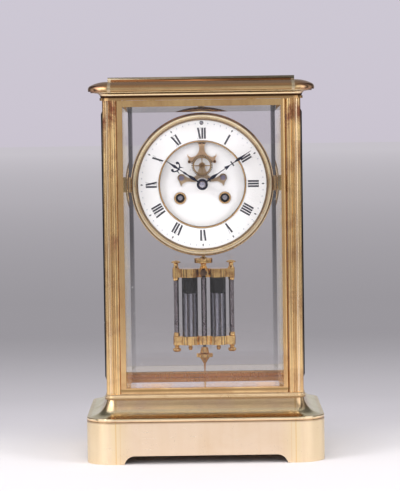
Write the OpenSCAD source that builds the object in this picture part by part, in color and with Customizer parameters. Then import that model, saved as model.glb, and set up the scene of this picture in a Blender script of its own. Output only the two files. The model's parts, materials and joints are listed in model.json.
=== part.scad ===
// Four-glass mantel clock with a visible escapement and a twin-jar mercury pendulum.
// Millimetres, +Z up, the front towards -Y, the origin under the middle of the base.

/* [Base] */
// How far the plinth stands out from the case on each side
base_overhang = 16; // [14:0.5:22]
// Height of the plinth's upright face
plinth_h = 32.7; // [24:0.1:45]
// Thickness of the plinth's wall
plinth_wall = 3; // [2:0.1:4]
// Height of the bead above the plinth
bead_h = 2.9; // [1:0.1:3]
// Height of the hollow moulding above the bead
cove_h = 13.4; // [11:0.1:16]
// Height of the arch under each side of the plinth
arch_h = 6.6; // [4:0.1:8]
// Radius of the arch's upper corners
arch_r = 8.3; // [8:0.1:12]
// Length of each foot, from the plinth's end to the arch
foot_l = 37.7; // [34:0.1:48]

/* [Case] */
// Width of the case across its posts
case_w = 154; // [150:1:200]
// Depth of the case across its posts
case_d = 118; // [114:1:160]
// Plan radius of the case's corners on the base and the cornice
corner_r = 6; // [5:0.5:7]
// Thickness of the floor plate
floor_t = 1.9; // [1.5:0.1:3]
// Thickness of the lower frame
lower_frame_t = 2.1; // [1.5:0.1:3]
// Height of the corner posts
post_h = 229.2; // [215:0.1:290]
// Width of a corner post on each face
post_w = 11.2; // [11:0.1:13]
// Thickness of the upper frame
upper_frame_t = 2; // [1.5:0.1:3]
// Height of the cornice
cornice_h = 15.8; // [15:0.1:20]
// How far the cornice stands out from the case on each side
cornice_overhang = 11; // [10:0.5:13]
// Height of the cornice's upright top edge
cornice_lip = 3.2; // [2:0.1:4]
// Thickness of the top plate
top_plate_t = 4; // [3:0.1:5]

/* [Doors and glass] */
// Thickness of a door or a side frame
leaf_t = 5; // [4.6:0.1:6]
// Width of an upright of a door
stile_w = 4.1; // [4:0.1:6]
// Height of a door's or side frame's bottom rail
bottom_rail = 4.4; // [4:0.1:8]
// Height of a door's top rail
door_top_rail = 5; // [4:0.1:8]
// Height of a side frame's top rail
side_top_rail = 3; // [3:0.1:6]
// Thickness of the glass at its bevelled edge
glass_edge = 1.7; // [1.2:0.1:1.8]
// How far the middle of a door glass stands out past its edge
door_glass_rise = 1.6; // [1:0.1:2]
// How far the middle of a side glass stands out past its edge
side_glass_rise = 3.6; // [1:0.1:4]
// Width of the bevel on a door glass
door_bevel = 4.4; // [2:0.1:10]
// Width of the bevel on a side glass
side_bevel = 7.5; // [2:0.1:12]
// Radius of a door's hinge pin
hinge_pin_r = 1.2; // [1:0.1:1.3]

/* [Dial] */
// Height of the dial's centre above the table
dial_z = 215.6; // [205:0.1:222]
// Radius of the bezel
bezel_r = 56.25; // [54:0.05:58]
// Radius of the enamel that the bezel leaves in view
dial_r = 50.35; // [48:0.05:51]
// Radius of the sunk middle of the dial
sunk_r = 33.4; // [33.2:0.1:34]
// Distance of each winding hole from the dial's upright middle line
wind_x = 17.6; // [17.3:0.1:19]
// Drop of the winding holes below the dial's centre
wind_drop = 10.9; // [10:0.1:12]
// Height of the escape wheel above the dial's centre
escape_rise = 14.6; // [14:0.1:15]
// Height of the anchor's pivot above the dial's centre
anchor_rise = 31.9; // [31.5:0.1:32]
// Length of the minute hand
minute_hand_l = 46.5; // [40:0.1:49]
// Length of the hour hand
hour_hand_l = 34.5; // [28:0.1:36]
// Angle of the minute hand past twelve
minute_angle = 55.9; // [0:0.1:360]
// Angle of the hour hand past twelve
hour_angle = 303.7; // [0:0.1:360]

/* [Movement] */
// Radius of the movement's plates
plate_r = 44; // [43:0.5:46]
// Thickness of each movement plate
plate_t = 1.5; // [1.2:0.1:2]
// Distance between the insides of the plates
plate_gap = 34; // [33:0.5:38]
// Distance of the front plate's back face behind the case's front
movement_set_back = 35; // [35:0.5:38]
// Teeth on each barrel
barrel_teeth = 84; // [84:12:84]
// Leaves of the pinion that a barrel drives
barrel_pinion = 12; // [12:1:12]
// Radius of the bell at its mouth
bell_r = 35; // [32:0.5:36]
// Height of the bell from its mouth to its crown
bell_h = 18; // [15:0.5:20]
// Thickness of the bell's wall
bell_wall = 1.6; // [1:0.1:2]

/* [Pendulum] */
// Distance of the pendulum behind the front plate's back face
pendulum_set_back = 45; // [44:0.5:46]
// Height of the top face of the upper jar plate above the table
jar_top_z = 145.4; // [140:0.1:150]
// Height of the glass jars between the plates
jar_h = 47.9; // [40:0.1:52]
// Thickness of each jar plate
jar_plate_t = 7; // [5:0.1:8]
// Outer radius of a jar
jar_r = 6.45; // [5.5:0.05:6.9]
// Distance of each jar from the pendulum's middle line
jar_x = 11.4; // [10.5:0.1:13]
// Distance of each outer rod from the pendulum's middle line
rod_x = 22.4; // [21.5:0.1:25]
// Share of a jar's height that the mercury fills
mercury_fill = 0.74; // [0.5:0.01:0.9]

/* [Hidden] */
$fn = 64;
run_gap = 0.05;   // running clearance on a shaft's radius
fit_gap = 0.02;   // clearance of a fixed pin's or screw's radius
face_gap = 0.2;   // clearance between a leaf and its frame
slip = 0.1;       // clearance of glass and enamel in their seats

// Case levels
bead_z = plinth_h;
cove_z = bead_z + bead_h;
floor_z = cove_z + cove_h;
sill_z = floor_z + floor_t;
post_z = sill_z + lower_frame_t;
head_z = post_z + post_h;
cornice_z = head_z + upper_frame_t;
top_z = cornice_z + cornice_h;

// Case plan
base_w = case_w + 2 * base_overhang;
base_d = case_d + 2 * base_overhang;
core_w = case_w - 2 * corner_r;
core_d = case_d - 2 * corner_r;
base_r = base_overhang + corner_r;
opening_w = case_w - 26;
opening_d = case_d - 26;
frame_lip = 0.6;
floor_lip = 1.5;
ring_web = 4;
moulding_in = 5;
top_core_in = 4.5;
cornice_nose = cornice_overhang + top_core_in;
cornice_core_w = case_w - 2 * top_core_in;
cornice_core_d = case_d - 2 * top_core_in;
cornice_hollow = 5.8;
top_ledge = 3;

// Case screws
screw_r = 2;
screw_head_r = 3.6;
screw_head_h = 2.6;
screw_bite = 12;
screw_x = case_w / 2 - post_w / 2;
screw_y = case_d / 2 - post_w / 2;
tie_r = 1.5;
tie_head_r = 2.6;
tie_head_h = 1.8;
tie_x = 40;
tie_y = case_d / 2 - 9;
tie_bite = 4;

// Doors and side frames
leaf_w = case_w - 2 * post_w - 2 * face_gap;
leaf_h = post_h - 2 * face_gap;
side_w = case_d - 2 * post_w - slip;
leaf_lip = 1.6;
rebate = 1.8;
bead_strip = 1.4;
hinge_x = leaf_w / 2 - leaf_t / 2;
hinge_y = case_d / 2 - leaf_t / 2;
hinge_pin_l = 2.2;

// Movement levels along the dial's axis, counted towards the front
dial_plane_y = -case_d / 2 + movement_set_back;
back_in = -plate_gap;
back_out = back_in - plate_t;
front_out = plate_t;
sunk_z = 9;
ring_z = 13.6;
enamel_t = 1;
hour_hand_z = 17;
minute_hand_z = 18.4;
hand_t = 0.7;

// Train: places of the arbors seen from the front, with the dial's centre at the origin
going_at = [wind_x, -wind_drop];
strike_at = [-wind_x, -wind_drop];
escape_at = [0, escape_rise];
anchor_at = [0, anchor_rise];
centre_to_barrel = norm(going_at);
barrel_m = 2 * centre_to_barrel / (barrel_teeth + barrel_pinion);
centre_teeth = 96;
third_teeth = 88;
leaves = 8;
centre_m = 0.27;
third_m = 0.28;
centre_reach = (centre_teeth + leaves) * centre_m / 2;
third_reach = (third_teeth + leaves) * third_m / 2;
third_y = (centre_reach ^ 2 - third_reach ^ 2 + escape_rise ^ 2) / (2 * escape_rise);
third_at = [-sqrt(centre_reach ^ 2 - third_y ^ 2), third_y];
pin_angle = 125;
pin_at = strike_at + centre_to_barrel * [cos(pin_angle), sin(pin_angle)];
pin_teeth = 80;
pin_m = 0.3;
pin_reach = (pin_teeth + leaves) * pin_m / 2;
lock_angle = 60;
lock_at = pin_at + pin_reach * [cos(lock_angle), sin(lock_angle)];
lock_teeth = 72;
lock_m = 0.28;
lock_reach = (lock_teeth + leaves) * lock_m / 2;
fly_angle = 20;
fly_at = lock_at + lock_reach * [cos(fly_angle), sin(fly_angle)];
hammer_at = [-38, -6];
click_reach = 11.5;
click_angle = 55;

// Motion work
motion_reach = 12;
cannon_teeth = 16;
minute_wheel_teeth = 48;
minute_pinion = 14;
hour_wheel_teeth = 56;
cannon_m = 2 * motion_reach / (cannon_teeth + minute_wheel_teeth);
hour_m = 2 * motion_reach / (minute_pinion + hour_wheel_teeth);
motion_at = [0, -motion_reach];

// Levels inside the movement, counted back from the front plate's inner face
arbor_r = 0.8;
pivot_r = 0.5;
anchor_arbor_r = 0.7;
stout_r = 1.2;
barrel_r = 16.4;
barrel_wall = 1;
going_wheel_z = -7;
strike_wheel_z = -30.5;
drum_end_z = -28.5;
wheel_t = 0.8;
great_t = 1.8;
centre_wheel_z = -2.4;
third_wheel_z = -4.6;
pin_wheel_z = -32.8;
lock_wheel_z = -20;

// Escapement
escape_tip = 8.4;
escape_root = 7.3;
escape_rim = 6.3;
escape_teeth = 36;
escape_z = 11.2;
pallet_x = 9.9;
pallet_drop = anchor_rise - escape_rise - 3.2;
pallet_r = 1.1;

// Pendulum
pendulum_z = -pendulum_set_back;
pendulum_y = dial_plane_y - pendulum_z;
swing_z = dial_z + anchor_rise;
jar_floor_z = jar_top_z - jar_plate_t - jar_h;
pendulum_foot_z = jar_floor_z - jar_plate_t;
jar_seat = 2;
jar_wall = 1.1;
rod_r = 2;

// Bell
bell_mouth_z = -51;
bell_at = [0, -9.6];
bell_sphere = (bell_r ^ 2 + bell_h ^ 2) / (2 * bell_h);

// Shapes that several pieces share

// A rectangle with round corners, centred
module round_rect(w, d, r) {
    square([w - 2 * r, d], center = true);
    square([w, d - 2 * r], center = true);
    for (x = [-1, 1], y = [-1, 1])
        translate([x * (w / 2 - r), y * (d / 2 - r)]) circle(r);
}

// A moulding's section carried round a rectangle; its x is the distance out from the rectangle
module sweep_round(w, d) {
    for (i = [0:3]) {
        along = i % 2 == 0 ? d : w;
        across = i % 2 == 0 ? w : d;
        rotate(90 * i)
            translate([across / 2, 0, 0]) {
                rotate([90, 0, 0])
                    linear_extrude(along, center = true) children();
                translate([0, along / 2, 0])
                    rotate_extrude(angle = 90) children();
            }
    }
}

// Copies at the four corners of a rectangle with half sizes x and y
module four(x, y) {
    for (i = [-1, 1], j = [-1, 1])
        translate([i * x, j * y, 0]) children();
}

// A copy as it is and one mirrored left to right
module both_sides() {
    children();
    mirror([1, 0, 0]) children();
}

// Turns a shape drawn on the dial, seen from the front, into its place in the case
module on_dial() {
    translate([0, dial_plane_y, dial_z])
        rotate([90, 0, 0]) children();
}

// A plain cylinder from one level to another at a place on the dial
module rod_between(at, r, from, to) {
    translate([at[0], at[1], from]) cylinder(r = r, h = to - from);
}

// Polar angle of an involute where its pressure angle is a
function inv(a) = tan(a) * 180 / PI - a;
pressure = 25;
function half_tooth(r, n, m, play) =
    let (base = n * m / 2 * cos(pressure))
    90 / n * (1 - play) + inv(pressure) - (r > base ? inv(acos(base / r)) : 0);

// A toothed wheel with involute teeth, one of them centred on +X
module gear_2d(n, m, add = 0.7, ded = 1, play = 0.14) {
    base = n * m / 2 * cos(pressure);
    root = n * m / 2 - ded * m;
    tip = n * m / 2 + add * m;
    foot = max(base, root + 0.1 * m);
    radii = [root, foot, (foot + tip) / 2, tip];
    polygon([
        for (i = [0:n - 1], k = [0:7])
            let (
                r = radii[k < 4 ? k : 7 - k],
                a = 360 / n * i + (k < 4 ? -1 : 1) * half_tooth(r, n, m, play)
            )
            r * [cos(a), sin(a)]
    ]);
}

// Turn of wheel b that meshes with wheel a, where phi is the direction from a to b
function mesh_turn(phi, turn_a, n_a, n_b) =
    phi + 180 - (0.5 - (phi - turn_a) * n_a / 360) * 360 / n_b;
function way(a, b) = atan2(b[1] - a[1], b[0] - a[0]);

// A crossed-out wheel: teeth, a rim, a hub and straight arms
module crossed_wheel(n, m, rim, hub, arms, t, arm_w, bore) {
    inner = n * m / 2 - m - rim;
    linear_extrude(t)
        difference() {
            union() {
                difference() {
                    gear_2d(n, m);
                    circle(inner);
                }
                circle(hub);
                for (i = [0:arms - 1])
                    rotate(360 / arms * (i + 0.5))
                        translate([0, -arm_w / 2]) square([inner + rim / 2, arm_w]);
            }
            circle(bore);
        }
}

// Base

module base_plinth() {
    front_half = base_w / 2 - foot_l;
    side_half = base_d / 2 - foot_l;
    color("goldenrod")
        difference() {
            linear_extrude(plinth_h)
                difference() {
                    round_rect(base_w, base_d, base_r);
                    round_rect(base_w - 2 * plinth_wall, base_d - 2 * plinth_wall,
                        base_r - plinth_wall);
                }
            rotate([90, 0, 0])
                linear_extrude(base_d + 2, center = true) arch(front_half);
            rotate([90, 0, 90])
                linear_extrude(base_w + 2, center = true) arch(side_half);
        }
}

// The outline of the arch under one side of the plinth
module arch(half) {
    translate([-half, -1]) square([2 * half, arch_h + 1]);
    for (x = [-half, half])
        translate([x, arch_h - arch_r]) circle(arch_r);
}

module base_moulding() {
    rise = cove_h;
    run = base_overhang - 0.7;
    hollow_r = (run ^ 2 + rise ^ 2) / (2 * rise);
    color("goldenrod")
        difference() {
            union() {
                sweep_round(core_w, core_d)
                    difference() {
                        union() {
                            translate([moulding_in, bead_z])
                                square([base_r - moulding_in, bead_h + cove_h]);
                            translate([0, floor_z - ring_web]) square([moulding_in, ring_web]);
                        }
                        translate([corner_r + run, cove_z + hollow_r]) circle(hollow_r);
                        translate([corner_r + run, cove_z]) square([base_r, 2 * hollow_r]);
                    }
                translate([0, 0, floor_z - ring_web])
                    linear_extrude(ring_web)
                        difference() {
                            square([core_w, core_d], center = true);
                            square([opening_w, opening_d], center = true);
                        }
            }
            four(screw_x, screw_y)
                translate([0, 0, floor_z - ring_web - 1])
                    cylinder(r = screw_r + slip, h = ring_web + 2);
        }
}

module base_floor() {
    color("darkgoldenrod")
        translate([0, 0, floor_z])
            linear_extrude(floor_t)
                difference() {
                    round_rect(case_w + 2 * floor_lip, case_d + 2 * floor_lip,
                        corner_r + floor_lip);
                    four(screw_x, screw_y) circle(screw_r + slip);
                }
}

// Case

// A flat ring over the case's plan with holes for the post screws and the hinge pins
module frame_ring(t, lip) {
    linear_extrude(t)
        difference() {
            round_rect(case_w + 2 * lip, case_d + 2 * lip, corner_r + lip);
            square([opening_w, opening_d], center = true);
            four(screw_x, screw_y) circle(screw_r + slip);
            hinge_points()
                circle(hinge_pin_r + fit_gap);
        }
}

// The front door turns at its right, the back door at its left
module hinge_points() {
    translate([hinge_x, -hinge_y]) children();
    translate([-hinge_x, hinge_y]) children();
}

module lower_frame() {
    color("goldenrod")
        translate([0, 0, sill_z]) frame_ring(lower_frame_t, frame_lip);
}

// A post's plan, with its outer corner at the origin: ribs and a fine bead on both outer faces
module post_plan() {
    face = 1.1;
    corner_bead = 2.1;
    fine_bead = 0.85;
    rib_half = 2.05;
    rib_h = face - 0.1;
    rib_r = (rib_half ^ 2 + rib_h ^ 2) / (2 * rib_h);
    translate([face, face]) square(post_w - face);
    translate([corner_bead, corner_bead]) circle(corner_bead);
    for (flip = [0, 1])
        mirror([flip, -flip]) {
            translate([5.35, 1.3]) circle(fine_bead);
            intersection() {
                translate([post_w - rib_half, 0.15 + rib_r]) circle(rib_r);
                translate([face + corner_bead, 0])
                    square([post_w - face - corner_bead, 2 * rib_half]);
            }
        }
}

module corner_posts() {
    color("goldenrod")
        for (x = [0, 1], y = [0, 1])
            mirror([x, 0, 0])
                mirror([0, y, 0])
                    translate([-case_w / 2, -case_d / 2, post_z])
                        difference() {
                            linear_extrude(post_h) post_plan();
                            translate([post_w / 2, post_w / 2, -1])
                                cylinder(r = screw_r + fit_gap, h = screw_bite + 2);
                            translate([post_w / 2, post_w / 2, post_h - screw_bite - 1])
                                cylinder(r = screw_r + fit_gap, h = screw_bite + 2);
                        }
}

module upper_frame() {
    color("goldenrod")
        translate([0, 0, head_z])
            difference() {
                frame_ring(upper_frame_t, floor_lip + 0.5);
                four(tie_x, tie_y)
                    translate([0, 0, -1]) cylinder(r = tie_r + slip, h = upper_frame_t + 2);
            }
}

// The cornice's section: a hollow below, a flattened quarter round with a tight nose above
module cornice_profile() {
    under = 5;
    nose_rise = 6.4;
    nose_r = 3.6;
    shelf = cornice_h - cornice_lip;
    bow_x = 1;
    nose_x = cornice_nose - nose_r;
    drop = shelf - nose_rise;
    across = nose_x - bow_x;
    bow_r = (across ^ 2 + drop ^ 2 - nose_r ^ 2) / (2 * (drop - nose_r));
    touch = bow_x + across * bow_r / (bow_r - nose_r);
    hollow_in = 5.7;
    hollow_out = 9.5;
    hollow_rise = 4;
    hollow_r = ((hollow_out - hollow_in) ^ 2 + hollow_rise ^ 2) / (2 * hollow_rise);
    difference() {
        union() {
            intersection() {
                translate([0, under]) square([touch, shelf - under]);
                translate([bow_x, shelf - bow_r]) circle(bow_r);
            }
            translate([0, under]) square([bow_x, shelf - under]);
            intersection() {
                translate([0, under]) square([cornice_nose, shelf - under]);
                translate([nose_x, nose_rise]) circle(nose_r + fit_gap);
            }
            translate([0, hollow_rise]) square([cornice_nose - 2, under - hollow_rise]);
            difference() {
                square([hollow_out, hollow_rise]);
                translate([hollow_out, 0]) circle(hollow_r);
            }
        }
        translate([-1, -1]) square([1 + top_core_in - 1.5, cornice_hollow + 1]);
    }
}

module cornice() {
    color("goldenrod")
        translate([0, 0, cornice_z])
            difference() {
                union() {
                    sweep_round(cornice_core_w, cornice_core_d)
                        cornice_profile();
                    translate([0, 0, cornice_hollow])
                        linear_extrude(cornice_h - cornice_hollow)
                            difference() {
                                square([cornice_core_w, cornice_core_d], center = true);
                                square([opening_w - 2 * top_ledge, opening_d - 2 * top_ledge],
                                    center = true);
                            }
                }
                translate([0, 0, cornice_h - top_plate_t])
                    linear_extrude(top_plate_t + 1)
                        square([opening_w, opening_d], center = true);
                four(tie_x, tie_y)
                    translate([0, 0, cornice_hollow - 1])
                        cylinder(r = tie_r + fit_gap, h = tie_bite + 1.5);
            }
}

module top_plate() {
    color("goldenrod")
        translate([0, 0, top_z - top_plate_t])
            linear_extrude(top_plate_t)
                square([opening_w - slip, opening_d - slip], center = true);
}

module case_fixings() {
    low_head = floor_z - ring_web;
    color("darkgoldenrod") {
        four(screw_x, screw_y) {
            translate([0, 0, low_head])
                cylinder(r = screw_r, h = post_z + screw_bite - low_head);
            translate([0, 0, low_head - screw_head_h])
                cylinder(r = screw_head_r, h = screw_head_h);
            translate([0, 0, head_z - screw_bite])
                cylinder(r = screw_r, h = screw_bite + upper_frame_t);
            translate([0, 0, cornice_z]) cylinder(r = screw_head_r, h = screw_head_h);
        }
        four(tie_x, tie_y) {
            translate([0, 0, head_z - tie_head_h]) cylinder(r = tie_head_r, h = tie_head_h);
            translate([0, 0, head_z])
                cylinder(r = tie_r, h = upper_frame_t + cornice_hollow + tie_bite);
        }
        hinge_points() {
            translate([0, 0, sill_z])
                cylinder(r = hinge_pin_r, h = hinge_pin_l + lower_frame_t);
            translate([0, 0, head_z - hinge_pin_l])
                cylinder(r = hinge_pin_r, h = hinge_pin_l + upper_frame_t);
        }
    }
}

// Glazed leaves: drawn in the X-Z plane, with their outside towards -Y and their foot at Z = 0

module leaf_frame(w, h, top_rail, hinged) {
    open_w = w - 2 * stile_w;
    open_h = h - bottom_rail - top_rail;
    difference() {
        linear_extrude(h) leaf_plan(w, hinged);
        translate([-open_w / 2, -1, bottom_rail]) cube([open_w, leaf_t + 2, open_h]);
        translate([-open_w / 2 - rebate, leaf_lip, bottom_rail - rebate])
            cube([open_w + 2 * rebate, leaf_t, open_h + 2 * rebate]);
        if (hinged)
            for (z = [-hinge_pin_l, h - hinge_pin_l + face_gap - slip])
                translate([hinge_x, leaf_t / 2, z])
                    cylinder(r = hinge_pin_r + run_gap, h = 2 * hinge_pin_l - face_gap + slip);
    }
}

module leaf_plan(w, hinged) {
    if (hinged) {
        translate([-w / 2, 0]) square([w / 2 + hinge_x, leaf_t]);
        translate([hinge_x, leaf_t / 2]) circle(leaf_t / 2);
    } else {
        translate([-w / 2, 0]) square([w, leaf_t]);
    }
}

// A plate of glass with a bevel all round its outside
module bevelled_glass(w, h, top_rail, rise, bevel) {
    open_w = w - 2 * stile_w - 2 * slip;
    open_h = h - bottom_rail - top_rail - 2 * slip;
    full_w = open_w + 2 * rebate - 2 * slip;
    full_h = open_h + 2 * rebate - 2 * slip;
    front = leaf_lip + slip;
    translate([0, 0, bottom_rail + slip + open_h / 2])
        intersection() {
            linear_extrude(full_h, center = true)
                glass_section(full_w, open_w, front, rise, bevel);
            rotate([90, 0, 90])
                linear_extrude(full_w, center = true)
                    rotate(90) glass_section(full_h, open_h, front, rise, bevel, -1);
        }
}

// Section across a bevelled glass; its outside faces -Y, or +Y where side is -1
module glass_section(full, open, front, rise, bevel, side = 1) {
    back = front + glass_edge;
    polygon([
        [-full / 2, side * back], [-full / 2, side * front], [-open / 2, side * front],
        [-open / 2 + bevel, side * (front - rise)], [open / 2 - bevel, side * (front - rise)],
        [open / 2, side * front], [full / 2, side * front], [full / 2, side * back]
    ]);
}

// The four strips that hold a glass in its rebate
module leaf_beads(w, h, top_rail) {
    open_w = w - 2 * stile_w;
    open_h = h - bottom_rail - top_rail;
    y = leaf_lip + slip + glass_edge + slip;
    t = leaf_t - y;
    both_sides()
        translate([open_w / 2 + slip, y, bottom_rail - rebate + slip])
            cube([bead_strip, t, open_h + 2 * rebate - 2 * slip]);
    for (z = [bottom_rail - bead_strip - slip, bottom_rail + open_h + slip])
        translate([-open_w / 2, y, z]) cube([open_w, t, bead_strip]);
}

module place_front_door() {
    translate([0, -case_d / 2, post_z + face_gap]) children();
}

module place_back_door() {
    rotate(180)
        place_front_door()
            children();
}

module place_sides() {
    for (a = [90, -90])
        rotate(a)
            translate([0, -case_w / 2, post_z]) children();
}

module side_frames() {
    color("goldenrod")
        place_sides() {
            leaf_frame(side_w, post_h, side_top_rail, false);
            leaf_beads(side_w, post_h, side_top_rail);
        }
}

module side_glasses() {
    color("lightcyan", 0.4)
        place_sides()
            bevelled_glass(side_w, post_h, side_top_rail, side_glass_rise, side_bevel);
}

module front_door_frame() {
    color("goldenrod")
        place_front_door()
            leaf_frame(leaf_w, leaf_h, door_top_rail, true);
}

module front_door_glass() {
    color("lightcyan", 0.4)
        place_front_door()
            bevelled_glass(leaf_w, leaf_h, door_top_rail, door_glass_rise, door_bevel);
}

module front_door_beads() {
    color("darkgoldenrod")
        place_front_door()
            leaf_beads(leaf_w, leaf_h, door_top_rail);
}

module back_door_frame() {
    color("goldenrod")
        place_back_door()
            leaf_frame(leaf_w, leaf_h, door_top_rail, true);
}

module back_door_glass() {
    color("lightcyan", 0.4)
        place_back_door()
            bevelled_glass(leaf_w, leaf_h, door_top_rail, door_glass_rise, door_bevel);
}

module back_door_beads() {
    color("darkgoldenrod")
        place_back_door()
            leaf_beads(leaf_w, leaf_h, door_top_rail);
}

// Movement plates

pillar_at = [for (a = [50, 130, 240, 300]) (plate_r - 4.5) * [cos(a), sin(a)]];
foot_at = [for (a = [25, 155, 255, 285]) (plate_r - 6.5) * [cos(a), sin(a)]];
pillar_r = 2.2;
pillar_pin_r = 1.2;
dial_foot_r = 1.2;

module front_plate() {
    color("gold")
        on_dial()
            linear_extrude(plate_t)
                difference() {
                    circle(plate_r);
                    for (p = pillar_at)
                        translate(p) circle(pillar_pin_r + fit_gap);
                    for (p = foot_at)
                        translate(p) circle(dial_foot_r + fit_gap);
                    for (p = [going_at, strike_at])
                        translate(p) circle(wind_arbor_r + run_gap);
                    circle(stout_r + run_gap);
                    translate(escape_at) circle(arbor_r + run_gap);
                    translate(anchor_at) circle(anchor_arbor_r + run_gap);
                    for (p = [third_at, pin_at, lock_at, fly_at, hammer_at])
                        translate(p) circle(pivot_r + run_gap);
                    translate(motion_at) circle(arbor_r + run_gap);
                    for (x = [-1, 1])
                        translate(click_place(x)) circle(arbor_r + run_gap);
                    both_sides()
                        translate([plate_r - 4, 0]) circle(bracket_screw_r + fit_gap);
                }
}

module back_plate() {
    color("gold")
        on_dial() {
            translate([0, 0, back_out])
                linear_extrude(plate_t)
                    difference() {
                        circle(plate_r);
                        for (p = [going_at, strike_at])
                            translate(p) circle(wind_arbor_r + run_gap);
                        translate(anchor_at) circle(arbor_r + run_gap);
                        circle(pivot_r + run_gap);
                        for (p = [escape_at, third_at, pin_at, lock_at, fly_at])
                            translate(p) circle(pivot_r + run_gap);
                        translate(hammer_at) circle(stout_r + run_gap);
                    }
            for (p = pillar_at) {
                rod_between(p, pillar_r, back_in, 0);
                rod_between(p, pillar_pin_r, 0, front_out + 1.6);
            }
        }
}

bracket_h = 12;
bracket_t = 1.5;
bracket_screw_r = 1.1;

// An angled strap from the inner face of a front post back and in to the front plate
module movement_brackets() {
    strap_x = case_w / 2 - post_w;
    start = case_d / 2 - leaf_t - 0.6;
    plate_y = dial_plane_y - front_out;
    color("gold")
        both_sides() {
            translate([0, 0, dial_z - bracket_h / 2])
                linear_extrude(bracket_h)
                    polygon([
                        [strap_x, -start], [strap_x, plate_y], [plate_r - 7, plate_y],
                        [plate_r - 7, plate_y - bracket_t],
                        [strap_x - bracket_t, plate_y - bracket_t], [strap_x - bracket_t, -start]
                    ]);
            on_dial() {
                rod_between([plate_r - 4, 0], bracket_screw_r, 0.2, front_out + bracket_t);
                rod_between([plate_r - 4, 0], 2, front_out + bracket_t, front_out + bracket_t + 1);
            }
            for (z = [-3.5, 3.5])
                translate([strap_x - bracket_t - 1, -case_d / 2 + post_w - 3, dial_z + z])
                    rotate([0, 90, 0]) cylinder(r = 1.8, h = 1);
        }
}

// Dial

module dial_pan() {
    color("gold")
        on_dial() {
            difference() {
                rotate_extrude()
                    union() {
                        translate([sunk_r, sunk_z - enamel_t - 1])
                            square([0.8, ring_z - sunk_z + 1]);
                        translate([sunk_r, ring_z - 1.2 - enamel_t])
                            square([bezel_r - 1.3 - sunk_r, 1.2]);
                        translate([sunk_r - 4, sunk_z - enamel_t - 1]) square([4.4, 1]);
                    }
                translate([0, anchor_rise, 0]) cylinder(r = 2.4, h = sunk_z);
                translate([0, regulator_rise, 0])
                    cylinder(r = regulator_r + run_gap, h = ring_z + 1);
            }
            for (p = foot_at)
                rod_between(p, dial_foot_r, 0.2, ring_z - 1.2 - enamel_t);
            for (p = foot_at)
                rod_between(p, 2, front_out, ring_z - 1.2 - enamel_t);
        }
}

regulator_rise = 48.2;
regulator_r = 0.8;
collet_r = 4.85;
collet_hole_r = 3.4;
wind_arbor_r = 1.95;

module dial_ring() {
    color("white")
        on_dial()
            difference() {
                translate([0, 0, ring_z - enamel_t])
                    linear_extrude(enamel_t)
                        difference() {
                            circle(dial_r + 2);
                            circle(sunk_r + 0.9);
                        }
                translate([0, regulator_rise, 0])
                    cylinder(r = regulator_r + slip, h = ring_z + 1);
            }
}

module dial_centre() {
    color("white")
        on_dial()
            translate([0, 0, sunk_z - enamel_t])
                linear_extrude(enamel_t)
                    difference() {
                        circle(sunk_r - slip);
                        circle(4.2);
                        both_sides()
                            translate(going_at) circle(collet_hole_r + 0.7);
                        translate(escape_at) circle(2);
                        translate(anchor_at + [-2, -2.5]) square([4, 6]);
                    }
}

// The gilt edge of the sunk middle and the collets of the winding holes
module dial_trim() {
    color("goldenrod")
        on_dial() {
            rotate_extrude()
                translate([sunk_r - 0.1, ring_z]) {
                    square([1.3, 0.5]);
                    translate([0.65, 0.5]) circle(0.4);
                }
            both_sides()
                translate([going_at[0], going_at[1], sunk_z - enamel_t])
                    rotate_extrude() {
                        translate([collet_hole_r, 0]) square([0.6, enamel_t + 0.5]);
                        translate([collet_hole_r, enamel_t])
                            square([collet_r - collet_hole_r, 0.5]);
                        translate([(collet_hole_r + collet_r) / 2, enamel_t + 0.7]) circle(0.6);
                    }
        }
}

module bezel() {
    wall = 1.1;
    color("goldenrod")
        on_dial()
            rotate_extrude() {
                translate([bezel_r - wall, ring_z - 5]) square([wall, 6.2]);
                translate([dial_r, ring_z + slip]) square([bezel_r - wall - dial_r, 1.2]);
                translate([bezel_r - 1.9, ring_z + 1.3]) circle(1.9);
                translate([bezel_r - 4.2, ring_z + 1.1]) circle(0.9);
                translate([dial_r + 0.5, ring_z + 0.9]) circle(0.5);
            }
}

// Hands and motion work

// A closed outline from its right half, which is listed upwards
function both_halves(half) =
    concat(half, [for (i = [len(half) - 1:-1:0]) [-half[i][0], half[i][1]]]);

// Cross, leaf, arrow, second cross and long blade, pointing up from the centre
module minute_outline() {
    difference() {
        circle(4.4);
        circle(2.35 + run_gap);
    }
    polygon(both_halves([
        [0.6, 4.2], [0.5, 6.2], [1.7, 6.3], [1.7, 7.1], [0.7, 7.3], [1.4, 10.2], [0.9, 12.6],
        [0.35, 15], [0.3, 22.2], [1.6, 21.6], [1, 24], [0.25, 26.6], [0.3, 28.1], [2.2, 28.1],
        [2.2, 29.1], [0.3, 29.1], [0.3, 30.4], [1.15, 34.6], [0.7, 38], [0.3, 42], [0.12, minute_hand_l]
    ]));
}

module minute_hand() {
    color("midnightblue")
        on_dial() {
            translate([0, 0, minute_hand_z])
                linear_extrude(hand_t)
                    rotate(-minute_angle) minute_outline();
            translate([0, 0, minute_hand_z + hand_t])
                rotate_extrude()
                    intersection() {
                        translate([0, -1.9]) circle(3.4);
                        square(3);
                    }
        }
}

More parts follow.
